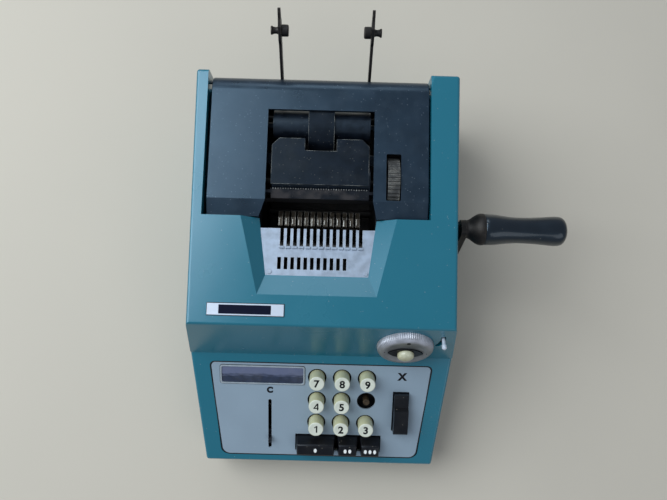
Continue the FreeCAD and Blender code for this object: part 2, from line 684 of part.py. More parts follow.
def make_keyboard():
    """Panel with its holes, guide plate below it, window, clear lever and the multiply bar."""
    panel = panel_solid(0, -PANEL_THICK, 0)
    cuts = [Part.makeCylinder(KEY_HOLE_RADIUS, 4, V(x, -down, -3)) for x, down in key_places().values()]
    widths = list(dot_places().values())
    left = widths[0][0] - widths[0][1] / 2 - 0.8
    right = widths[-1][0] + widths[-1][1] / 2 + 0.8
    cuts.append(box(left, right, -DOT_ROW - DOT_DEPTH / 2 - 0.8, -DOT_ROW + DOT_DEPTH / 2 + 0.8, -3, 3))
    cuts.append(window_box(WINDOW_FRAME - 0.8, -3, 3))
    sx = slot_x()
    slot = box(sx - SLOT_WIDTH / 2, sx + SLOT_WIDTH / 2, -SLOT_TOP - SLOT_LENGTH, -SLOT_TOP, -3, 3)
    cuts.append(rounded_uprights(slot, SLOT_WIDTH / 2 - 0.1))
    bx = bar_x()
    cuts.append(box(bx - 0.8, bx + BAR_WIDTH + 0.8, -BAR_TOP - BAR_LENGTH - 1.4, -BAR_TOP + 0.8, -3, 3))
    panel = panel.cut(cuts)
    rails = []
    rail_top, rail_low = -SLOT_TOP + 6, -SLOT_TOP - SLOT_LENGTH + 1
    for side in (-1, 1):
        web = sorted((sx + side * 7.8, sx + side * 9.2))
        lip = sorted((sx + side * 5.4, sx + side * 9.2))
        rails.append(box(web[0], web[1], rail_low, rail_top, -PANEL_THICK - 3.2, -PANEL_THICK))
        rails.append(box(lip[0], lip[1], rail_low, rail_top, -PANEL_THICK - 3.2, -PANEL_THICK - 2.2))
    panel = panel.fuse(rails).removeSplitter()

    slide_low, slide_high = -PANEL_THICK - 1.9, -PANEL_THICK - FIT
    tab_at = -SLOT_TOP - SLOT_LENGTH + 9
    slide = box(sx - 7.4, sx + 7.4, tab_at - 6.5, tab_at + 6.5, slide_low, slide_high)
    tab = box(sx - 0.8, sx + 0.8, tab_at - 2.2, tab_at + 2.2, slide_low, 5.0)
    tab = rounded(tab, 2.0, lambda m, d: m.z > 4.9 and abs(d.x) > 0.9)
    clear = slide.fuse(tab).removeSplitter()

    bezel = window_box(0, 0, 0.8).fuse(window_box(WINDOW_FRAME - 0.7, -2.0, 0)).cut(window_box(WINDOW_FRAME, -5, 5))
    lens = window_box(WINDOW_FRAME, -1.6, 0.2)

    plate_left = KEY_COLUMN_X - KEY_PITCH - 22
    plate_right = bx + BAR_WIDTH + 8
    low = -GUIDE_LEVEL - GUIDE_THICK
    guide = box(plate_left, plate_right, -PANEL_TOP - PANEL_LENGTH + 1.5, -PANEL_TOP - 1.5, low, -GUIDE_LEVEL)
    cuts = [box(plate_left - 1, KEY_COLUMN_X - KEY_PITCH - 12.5, -WINDOW_TOP - WINDOW_HEIGHT - 4, 0, low - 1, 0)]
    stems = list(key_places().values())
    for x, width in dot_places().values():
        stems += [(s, DOT_ROW) for s in dot_stems(x, width)]
    for x, down in stems:
        w = STEM_WIDTH / 2 + 0.25
        t = STEM_THICK / 2 + 0.25
        cuts.append(box(x - w, x + w, -down - t, -down + t, low - 1, -GUIDE_LEVEL + 1))
    guide = guide.cut(cuts)
    pillars = []
    rear_left = (plate_left + 4.5, WINDOW_TOP + WINDOW_HEIGHT + 8)
    for x, down in (rear_left, (plate_left + 2.5, DOT_ROW), (plate_right - 4, PANEL_TOP + 6),
                    (plate_right - 5, DOT_ROW + 4)):
        pillars.append(Part.makeCylinder(2.2, GUIDE_LEVEL - PANEL_THICK, V(x, -down, -GUIDE_LEVEL)))
    pivot_down = BAR_TOP + 11.5
    lugs = []
    for x in (bx - 2.0, bx + BAR_WIDTH + 0.8):
        lug = box(x, x + 1.2, -pivot_down - 4, -pivot_down + 4, -GUIDE_LEVEL, -PANEL_THICK - FIT)
        pin = Part.makeCylinder(1.5 + RUN, 4, V(x - 1, -pivot_down, -BAR_PIVOT_LEVEL), V(1, 0, 0))
        lugs.append(lug.cut(pin))
    guide = guide.fuse(pillars + lugs).removeSplitter()

    outline = [(BAR_TOP, -1.2), (BAR_TOP, 4.2), (BAR_TOP + 1.6, 5.6), (BAR_TOP + 9.5, 5.0), (BAR_TOP + 12.0, 8.4),
               (BAR_TOP + BAR_LENGTH - 1.6, 9.0), (BAR_TOP + BAR_LENGTH, 7.4), (BAR_TOP + BAR_LENGTH, -1.2),
               (pivot_down + 4.5, -1.2), (pivot_down, -BAR_PIVOT_LEVEL - 2.4), (pivot_down - 4.5, -1.2)]
    bar = slab_x([(-down, level) for down, level in outline], bx, bx + BAR_WIDTH)
    bar = rounded(bar, 0.8, lambda m, d: abs(d.x) > 0.999 and m.z > 7.5)
    trunnion = Part.makeCylinder(1.5, BAR_WIDTH + 4.2, V(bx - 2.1, -pivot_down, -BAR_PIVOT_LEVEL), V(1, 0, 0))
    bar = bar.fuse(trunnion).removeSplitter()

    local = {"keyboard_panel": [panel], "key_guide_plate": [guide], "window_bezel": [bezel],
             "window_lens": [lens], "clear_lever": [clear], "multiply_bar": [bar]}
    return {name: [placed(s, KEY_FRAME) for s in shapes] for name, shapes in local.items()}


def make_selector():
    """Dial on the sloping face, the pointed disc that turns on it with its knob, and the small lever."""
    x = HALF_STEP - DIAL_FROM_RIGHT
    base = V(x, DIAL_UP, 0)
    out = V(0, 0, 1)
    edge = DIAL_RADIUS - DIAL_SHOULDER
    lift = DIAL_HEIGHT - DIAL_RIM
    steps = [math.radians(90.0 * i / 5) for i in range(6)]
    ring = [(0, DIAL_RADIUS)]
    ring += [(DIAL_RIM + lift * math.sin(a), DIAL_SHOULDER + edge * math.cos(a)) for a in steps]
    floor = DIAL_HEIGHT - DISH_DEPTH
    ring += [(DIAL_HEIGHT - 0.1, DIAL_SHOULDER - 0.9), (floor, DISH_RADIUS)]
    dial = turned(ring, base, out).cut(Part.makeCylinder(SPINDLE_RADIUS + RUN, 20, V(x, DIAL_UP, -5)))
    low, high = floor + FIT, floor + FIT + DISC_THICK
    bow = (DISC_HALF_LENGTH ** 2 + DISC_HALF_WIDTH ** 2) / (2 * DISC_HALF_WIDTH)
    off = bow - DISC_HALF_WIDTH
    bows = [Part.makeCylinder(bow, DISC_THICK, V(x, DIAL_UP + side * off, low)) for side in (-1, 1)]
    disc = bows[0].common(bows[1])
    disc = disc.cut(Part.makeCylinder(SPINDLE_RADIUS, 20, V(x, DIAL_UP, -5)))
    knob = turned([(high, KNOB_RADIUS), (KNOB_TOP - 2.0, KNOB_RADIUS), (KNOB_TOP - 0.9, KNOB_RADIUS - 0.5),
                   (KNOB_TOP - 0.2, KNOB_RADIUS - 1.7), (KNOB_TOP, KNOB_RADIUS - 3.4)], base, out)
    spindle = Part.makeCylinder(SPINDLE_RADIUS, high + 14, V(x, DIAL_UP, -14))
    washer = Part.makeCylinder(5.0, 1.5, V(x, DIAL_UP, -WALL - 1.5 - FIT))
    knob = knob.fuse([spindle, washer]).removeSplitter()

    tip_x = HALF_STEP - FINGER_FROM_RIGHT
    pivot_x = tip_x - FINGER_LENGTH
    level = -WALL - FIT
    strip = box(pivot_x, tip_x + 1.2, FINGER_UP - 1.6, FINGER_UP + 1.6, level - 1.6, level)
    eye = Part.makeCylinder(2.8, 1.6, V(pivot_x, FINGER_UP, level - 1.6))
    tip = turned([(-WALL - 1.0, 1.2), (FINGER_TOP - 4.0, 1.2), (FINGER_TOP - 3.0, 1.7), (FINGER_TOP - 0.8, 1.7),
                  (FINGER_TOP, 1.0)], V(tip_x, FINGER_UP, 0), out)
    finger = strip.fuse([eye, tip]).cut(Part.makeCylinder(1.5 + RUN, 9, V(pivot_x, FINGER_UP, level - 4)))
    local = {"selector_dial": [dial], "selector_disc": [disc], "selector_knob": [knob],
             "side_lever": [finger.removeSplitter()]}
    return {name: [placed(s, FACE_FRAME) for s in shapes] for name, shapes in local.items()}


def make_badge():
    """A bare bright plate with a shallow field, on the hood in front of the window."""
    x0, x1, y0, y1 = BADGE
    plate = box(x0, x1, y0, y1, 0, 0.9)
    plate = rounded(plate, 0.35, lambda m, d: m.z > 0.85)
    field = box(x0 + 8.0, x1 - 8.8, y0 + 0.9, y1 - 0.9, 0.6, 2)
    return {"badge_plate": [placed(plate.cut(field), HOOD_FRAME)]}


def make_type_unit():
    """Type bars on their rod, ribbon, its spools and the deck that carries them."""
    bars = []
    low, top = TYPE_HEAD_TOP - 12.5, TYPE_HEAD_TOP
    front, rear = TYPE_PIVOT_Y - 4.2, TYPE_PIVOT_Y + 2.8
    for i in range(COLUMNS):
        x = column_x(i) + TYPE_SHIFT
        hub = rod_x(5.0, x - 1.9, x + 1.9, TYPE_PIVOT_Y, TYPE_PIVOT_Z)
        blade = slab_x([(front, TYPE_PIVOT_Z), (front, top - 4), (rear, top - 4), (rear, TYPE_PIVOT_Z)],
                       x - TYPE_BLADE / 2, x + TYPE_BLADE / 2)
        nose = front - 0.9
        head = slab_x([(nose + 2, low), (TYPE_FACE_Y, low), (TYPE_FACE_Y, top - 3.5), (TYPE_FACE_Y - 4.9, top),
                       (nose, top), (nose, low + 2)], x - TYPE_HEAD / 2, x + TYPE_HEAD / 2)
        head = rounded(head, 0.7, lambda m, d: abs(d.x) > 0.99 and m.z > top - 0.1)
        bars.append(hub.fuse([blade, head]).cut(rod_x(TYPE_ROD + RUN, x - 3, x + 3, TYPE_PIVOT_Y, TYPE_PIVOT_Z)))

    deck = []
    spools = {}
    corners = {}
    z_low = RIBBON_LOW - 3.0
    for side, frame_x in (("left", FRAME_LEFT), ("right", FRAME_RIGHT)):
        way = -1 if side == "left" else 1
        far = frame_x + way * DECK_REACH
        x0, x1 = sorted((frame_x, far))
        sheet = box(x0, x1, SPOOL_Y - 15, RIBBON_Y + 1.5, z_low - 1.4, z_low)
        drop = sorted((frame_x, frame_x + way * 1.4))
        sheet = sheet.fuse(box(drop[0], drop[1], SPOOL_Y - 15, SPOOL_Y + 12, z_low - 10, z_low))
        centre_x = frame_x + way * SPOOL_OUT
        sheet = sheet.fuse(rod_z(2.0, centre_x, SPOOL_Y, z_low, z_low + 17.5))
        wheel_x = FRAME_RIGHT + WHEEL_GAP
        sheet = sheet.cut(box(wheel_x - 1, wheel_x + WHEEL_WIDTH + 1, PLATEN_Y - WHEEL_RADIUS - 1, PLATEN_Y, 0, 200))
        post_x = frame_x + way * 2.2
        deck.append(sheet.fuse(rod_z(1.3, post_x, RIBBON_Y - 2.2, z_low, z_low + 17)).removeSplitter())
        profile = [(0, SPOOL_RADIUS), (1.2, SPOOL_RADIUS), (1.2, 5.0), (15.0, 5.0), (15.0, SPOOL_RADIUS),
                   (16.2, SPOOL_RADIUS)]
        spool = turned(profile, V(centre_x, SPOOL_Y, z_low + FIT), V(0, 0, 1))
        spool = spool.cut(rod_z(2.0 + RUN, centre_x, SPOOL_Y, z_low - 5, z_low + 30))
        coil = rod_z(COIL_RADIUS, centre_x, SPOOL_Y, z_low + FIT + 1.3, z_low + FIT + 14.9)
        coil = coil.cut(rod_z(5.0 + RUN, centre_x, SPOOL_Y, z_low - 5, z_low + 30))
        spools["ribbon_spool_" + side] = [spool, coil]
        corners[side] = [(centre_x - way * (COIL_RADIUS + 0.4), SPOOL_Y + 3), (post_x + way * 1.7, RIBBON_Y - 4),
                         (post_x + way * 1.7 - way * 0.4, RIBBON_Y)]
    path = corners["left"] + corners["right"][::-1]
    low = RIBBON_LOW
    strips = []
    half = RIBBON_THICK / 2
    for (ax, ay), (bx, by) in zip(path[:-1], path[1:]):
        length = math.hypot(bx - ax, by - ay)
        nx, ny = -(by - ay) / length * half, (bx - ax) / length * half
        quad = [(ax + nx, ay + ny), (bx + nx, by + ny), (bx - nx, by - ny), (ax - nx, ay - ny)]
        strips.append(slab_z(quad, low, low + RIBBON_HEIGHT))
    joints = [rod_z(half, x, y, low, low + RIBBON_HEIGHT) for x, y in path[1:-1]]
    ribbon = strips[0].fuse(strips[1:] + joints).removeSplitter()
    return {"type_bars": bars, "ribbon": [ribbon], "ribbon_deck": deck, **spools}


def ribbed_wheel(radius, width, ribs, x, y, z):
    """A thumbwheel with straight ribs across its rim."""
    points = []
    for i in range(ribs):
        for share, r in ((0.0, radius - 0.75), (0.28, radius), (0.62, radius), (0.9, radius - 0.75)):
            angle = 2 * math.pi * (i + share) / ribs
            points.append((y + r * math.cos(angle), z + r * math.sin(angle)))
    return slab_x(points, x, x + width)


def make_platen():
    """Platen roller on its shaft with the thumbwheel, and the paper guide pieces behind and above it."""
    left, right = NOTCH_LEFT + 2.7, NOTCH_RIGHT - 1.4
    platen = rod_x(PLATEN_RADIUS, left, right, PLATEN_Y, PLATEN_Z)
    platen = platen.cut(rod_x(PLATEN_SHAFT, left, right, PLATEN_Y, PLATEN_Z))
    wheel_x = FRAME_RIGHT + WHEEL_GAP
    shaft = rod_x(PLATEN_SHAFT, FRAME_LEFT - 1.2, wheel_x + WHEEL_WIDTH + 0.8, PLATEN_Y, PLATEN_Z)
    wheel = ribbed_wheel(WHEEL_RADIUS, WHEEL_WIDTH, WHEEL_RIBS, wheel_x, PLATEN_Y, PLATEN_Z)
    hub = rod_x(6.0, wheel_x - 1.4, wheel_x, PLATEN_Y, PLATEN_Z)
    wheel = wheel.fuse(hub).cut(rod_x(PLATEN_SHAFT, wheel_x - 3, wheel_x + 20, PLATEN_Y, PLATEN_Z))
    roller = rod_x(ROLLER_RADIUS, NOTCH_LEFT + 2.0, NOTCH_RIGHT - 1.8, ROLLER_Y, ROLLER_Z)
    roller = roller.fuse(rod_x(2.5, FRAME_LEFT, FRAME_RIGHT, ROLLER_Y, ROLLER_Z)).removeSplitter()

    low = TABLE_TOP - TABLE_THICK
    t_left, t_right = NOTCH_LEFT + 2.2, NOTCH_RIGHT - 2.6
    front, rear = PLATEN_Y - PLATEN_RADIUS + TABLE_START, ROLLER_Y - ROLLER_RADIUS - 2.0
    slope = 5.2
    n_left, n_right = TONGUE_X - TONGUE_WIDTH / 2 - 2.0, TONGUE_X + TONGUE_WIDTH / 2 + 2.0
    notch = rear - 8.9
    outline = [(t_left, front), (t_right, front), (t_right, rear - slope), (t_right - slope, rear),
               (n_right, rear), (n_right, notch), (n_left, notch), (n_left, rear), (t_left + slope, rear),
               (t_left, rear - slope)]
    table = slab_z(outline, low, TABLE_TOP)
    ears = []
    for edge, frame_x, way in ((t_left, FRAME_LEFT + FRAME_THICK, 1), (t_right, FRAME_RIGHT - FRAME_THICK, -1)):
        web = sorted((edge, edge + way * 1.2))
        foot = sorted((frame_x, edge + way * 1.2))
        ears.append(box(web[0], web[1], rear - 16, rear - 8, TABLE_EAR_Z, TABLE_TOP - 0.5))
        ears.append(box(foot[0], foot[1], rear - 16, rear - 8, TABLE_EAR_Z, TABLE_EAR_Z + 1.2))
    table = table.fuse(ears).removeSplitter()

    teeth = []
    b_left, b_right = NOTCH_LEFT + 2.2, NOTCH_RIGHT - 2.2
    pitch = (b_right - b_left) / TEAR_TEETH
    run0, run1 = RIBBON_Y - 0.6, PLATEN_Y - PLATEN_RADIUS + TEAR_BAR_REACH
    z1 = PLATEN_Z + PLATEN_RADIUS + 0.9
    z0 = z1 - 4.8
    bar = slab_x([(run0, z0), (run1, z1), (run1, z1 + 1.1), (run0 - 0.2, z0 + 1.1)], b_left, b_right)
    for i in range(TEAR_TEETH):
        x = b_left + i * pitch
        teeth.append(slab_z([(x + 0.12, run1 + 0.2), (x + pitch - 0.12, run1 + 0.2), (x + pitch / 2, run1 - 1.1)],
                            z0, z1 + 5))
    bar = bar.cut(teeth)
    tabs = []
    for edge, frame_x in ((b_left + 1.2, FRAME_LEFT + FRAME_THICK), (b_right - 1.2, FRAME_RIGHT - FRAME_THICK)):
        foot = sorted((frame_x, edge))
        tab = box(foot[0], foot[1], RIBBON_Y + 2.7, run1 - 1.3, PLATEN_Z + PLATEN_SHAFT + 1.2, z1 + 0.6)
        keep = slab_x([(run0, z0 - 5), (run0, z0 + 1.1), (run1, z1 + 1.1), (run1, z0 - 5)], foot[0], foot[1])
        tabs.append(tab.common(keep))
    bar = bar.fuse(tabs).cut(rod_x(PLATEN_RADIUS + 0.5, left - 1, right + 1, PLATEN_Y, PLATEN_Z)).removeSplitter()

    inner = ROLLER_RADIUS + 6.4
    cy, cz = ROLLER_Y - 2.7, ROLLER_Z - 5.5
    outer = inner + 1.0
    x0, x1 = TONGUE_X - TONGUE_WIDTH / 2, TONGUE_X + TONGUE_WIDTH / 2
    ring = rod_x(outer, x0, x1, cy, cz).cut(rod_x(inner, x0, x1, cy, cz))
    ring = ring.common(box(x0, x1, cy - outer - 1, cy, cz, cz + outer + 1))
    leg_y = BRACE_Y + BRACE_RADIUS
    flat = box(x0, x1, cy, leg_y + 1.0, cz + inner, cz + outer)
    leg = box(x0, x1, leg_y, leg_y + 1.0, BRACE_Z - 4, cz + outer)
    tongue = ring.fuse([flat, leg]).removeSplitter()
    return {"platen": [platen], "platen_shaft": [shaft], "thumbwheel": [wheel], "paper_roller": [roller],
            "paper_table": [table], "tear_bar": [bar], "paper_tongue": [tongue]}


def make_cover():
    """The dark cover over platen and ribbon: lipped front, rolled rear, open notch for the paper."""
    left, right = TROUGH_LEFT + COVER_GAP_LEFT, TROUGH_RIGHT - COVER_GAP_RIGHT
    front = COVER_FRONT_Y + 0.6
    rear = REAR_Y - 1.4

    def form(inset):
        f, r, top = front + inset, rear - inset, COVER_TOP - inset
        roll = COVER_ROLL - inset
        low = COVER_TOP - COVER_SKIRT - 2 * inset
        turn = r - roll
        bend = Part.Arc(V(0, turn, top), V(0, turn + roll * math.sin(math.radians(45)),
                                           top - roll * (1 - math.cos(math.radians(45)))), V(0, r, top - roll))
        edges = [Part.makeLine(V(0, f, low), V(0, f, top - COVER_LIP_DROP)),
                 Part.makeLine(V(0, f, top - COVER_LIP_DROP), V(0, f + COVER_LIP, top)),
                 Part.makeLine(V(0, f + COVER_LIP, top), V(0, turn, top)),
                 bend.toShape(),
                 Part.makeLine(V(0, r, top - roll), V(0, r - 3.0, low - 3.0)),
                 Part.makeLine(V(0, r - 3.0, low - 3.0), V(0, f, low))]
        face = Part.Face(Part.Wire(edges))
        solid = face.extrude(V(right - left - 2 * inset, 0, 0))
        solid.translate(V(left + inset, 0, 0))
        return solid

    body = form(0)
    body = rounded(body, 0.8, lambda m, d: m.z > COVER_TOP - COVER_LIP_DROP - 1 and abs(m.x - left) < 0.1
                   or m.z > COVER_TOP - COVER_LIP_DROP - 1 and abs(m.x - right) < 0.1)
    cover = body.cut(form(COVER_THICK))
    lip = front + COVER_LIP
    near, far = NOTCH_LEFT - NOTCH_EASE_LEFT, NOTCH_RIGHT + NOTCH_EASE_RIGHT
    notch = slab_z([(near, NOTCH_REAR_Y), (near, lip), (near - 4.8, front - 1),
                    (far + 3.0, front - 1), (far, lip), (far, NOTCH_REAR_Y)], 60, 150)
    wheel_x = FRAME_RIGHT + WHEEL_GAP
    slot = box(wheel_x - 1.4, wheel_x + WHEEL_WIDTH + 0.9, PLATEN_Y - 15.7, PLATEN_Y + 18.4, 60, 150)
    slot = rounded_uprights(slot, 1.0)
    cuts = [notch, slot]
    for x in (left, right - COVER_THICK):
        cuts.append(rod_x(COVER_PIN + RUN, x - 1, x + COVER_THICK + 1, COVER_HINGE_Y, COVER_HINGE_Z))
    cover = cover.cut(cuts).removeSplitter()
    pins = [rod_x(COVER_PIN, TROUGH_LEFT - CHEEK_WALL, left + COVER_THICK + 1.0, COVER_HINGE_Y, COVER_HINGE_Z),
            rod_x(COVER_PIN, right - COVER_THICK - 1.0, TROUGH_RIGHT + CHEEK_WALL, COVER_HINGE_Y, COVER_HINGE_Z)]
    return {"platen_cover": [cover], "cover_hinge_pins": pins}


def arm_xs():
    return [ARM_CENTRE_X - ARM_SPREAD / 2, ARM_CENTRE_X + ARM_SPREAD / 2]


def make_paper_arms():
    """Two flat arms that lean back over the rear and carry the paper roll between their spindles."""
    angle = math.radians(ARM_ANGLE)
    along = V(0, math.cos(angle), math.sin(angle))
    up = V(0, -math.sin(angle), math.cos(angle))
    pivot = V(0, ARM_PIVOT_Y, ARM_PIVOT_Z)
    half = ARM_WIDTH / 2
    hub = 5.5
    arms = []
    spindles = {}
    for side, x in zip(("left", "right"), arm_xs()):
        outline = [(0, half), (ROLL_ALONG - 9, half - 0.4), (ROLL_ALONG - 5, half + 1.6), (ROLL_ALONG + 5, half + 1.6),
                   (ROLL_ALONG + 9, half - 0.8), (ARM_LENGTH - 3, half - 1.3), (ARM_LENGTH, half - 2.6)]
        outline += [(d, -h) for d, h in outline[::-1]]
        points = [pivot + along * d + up * h for d, h in outline]
        arm = slab_x([(p.y, p.z) for p in points], x - ARM_THICK / 2, x + ARM_THICK / 2)
        arm = arm.fuse(rod_x(hub, x - ARM_THICK / 2, x + ARM_THICK / 2, pivot.y, pivot.z))
        centre = pivot + along * ROLL_ALONG
        hole = rod_x(2.0 + RUN, x - 3, x + 3, centre.y, centre.z)
        arm = arm.cut([hole, rod_x(ARM_ROD, x - 3, x + 3, pivot.y, pivot.z)]).removeSplitter()
        arms.append(arm)
        inward = 1 if side == "left" else -1
        face = ARM_THICK / 2
        profile = [(-face - 5.4, 2.9), (-face - 4.7, 3.1), (-face - 3.4, 2.4), (-face - 1.8, 2.2), (-face - FIT, 2.6),
                   (-face - FIT, 2.0), (face + FIT, 2.0), (face + FIT, SPINDLE_DRUM), (face + 4.5, SPINDLE_DRUM),
                   (face + 5.1, SPINDLE_DRUM - 0.6)]
        spindles["roll_spindle_" + side] = [turned(profile, V(x, centre.y, centre.z), V(inward, 0, 0))]
    rod = rod_x(ARM_ROD, FRAME_LEFT - 0.5, FRAME_RIGHT + 0.5, pivot.y, pivot.z)
    return {"paper_arms": arms + [rod], **spindles}


def frame_outline():
    """Side frame as (y, z) points, low at the front where the ribbon crosses."""
    shelf = RIBBON_LOW - 5.0
    return [(REGISTER_Y - 14, PAN_TOP), (REGISTER_Y - 14, REGISTER_Z + 10), (REGISTER_Y - 4, REGISTER_Z + 20),
            (SPOOL_Y - 16, REGISTER_Z + 22), (SPOOL_Y - 12, shelf), (RIBBON_Y + 2.6, shelf),
            (RIBBON_Y + 2.6, PLATEN_Z + 6.5), (RIBBON_Y + 5, PLATEN_Z + 8.0), (ROLLER_Y + 8, ROLLER_Z + 8.0),
            (ARM_PIVOT_Y + 6, ARM_PIVOT_Z + 8), (ARM_PIVOT_Y + 7, ARM_PIVOT_Z - 10), (ARM_PIVOT_Y + 7, PAN_TOP)]


def make_frame():
    """Two side frames on the base plate, with the rods that brace them and carry the type bars."""
    plates = []
    bores = [(CRANK_Y, CRANK_Z, CRANK_SHAFT + RUN), (REGISTER_Y, REGISTER_Z, 3.0 + RUN),
             (TYPE_PIVOT_Y, TYPE_PIVOT_Z, TYPE_ROD), (PLATEN_Y, PLATEN_Z, PLATEN_SHAFT + RUN),
             (ROLLER_Y, ROLLER_Z, 2.5 + RUN), (ARM_PIVOT_Y, ARM_PIVOT_Z, ARM_ROD + RUN)]
    rods = [(REGISTER_Y - 2, PAN_TOP + 12), (PLATEN_Y - 10, PAN_TOP + 14), (BRACE_Y, BRACE_Z)]
    holes = [(PLATEN_Y, PLATEN_Z - 36), (PLATEN_Y + 34, PLATEN_Z - 52), (CRANK_Y + 8, PAN_TOP + 14)]
    for x, way in ((FRAME_LEFT, 1), (FRAME_RIGHT - FRAME_THICK, 0)):
        plate = slab_x(frame_outline(), x, x + FRAME_THICK)
        foot_x = x - 8 if way else x
        plate = plate.fuse(box(foot_x, foot_x + 10, REGISTER_Y - 14, ARM_PIVOT_Y + 7, PAN_TOP, PAN_TOP + 2))
        cuts = [rod_x(r, x - 20, x + 20, y, z) for y, z, r in bores]
        cuts += [rod_x(BRACE_RADIUS, x - 20, x + 20, y, z) for y, z in rods]
        cuts += [rod_x(11.0, x - 20, x + 20, y, z) for y, z in holes]
        plates.append(plate.cut(cuts).removeSplitter())
    braces = [rod_x(BRACE_RADIUS, FRAME_LEFT, FRAME_RIGHT, y, z) for y, z in rods]
    braces.append(rod_x(TYPE_ROD, FRAME_LEFT, FRAME_RIGHT, TYPE_PIVOT_Y, TYPE_PIVOT_Z))
    return {"side_frames": plates, "frame_rods": braces}


def spur_gear(teeth, width, x, y, z, turn):
    """A spur gear with involute flanks, a little slim so that it runs with backlash."""
    pitch = GEAR_MODULE * teeth / 2
    base = pitch * math.cos(math.radians(20))
    tip = pitch + GEAR_MODULE * 0.95
    root = pitch - GEAR_MODULE * 1.2
    points = []

    def involute(radius):
        if radius <= base:
            return 0.0
        roll = math.sqrt((radius / base) ** 2 - 1)
        return roll - math.atan(roll)

    half = math.pi / (2 * teeth) - 0.14 / pitch + involute(pitch)
    radii = [root, max(base, root + 0.1), pitch, tip]
    for i in range(teeth):
        middle = turn + 2 * math.pi * i / teeth
        for r in radii:
            points.append((middle - half + involute(r), r))
        for r in radii[::-1]:
            points.append((middle + half - involute(r), r))
    return slab_x([(y + r * math.cos(a), z + r * math.sin(a)) for a, r in points], x, x + width)


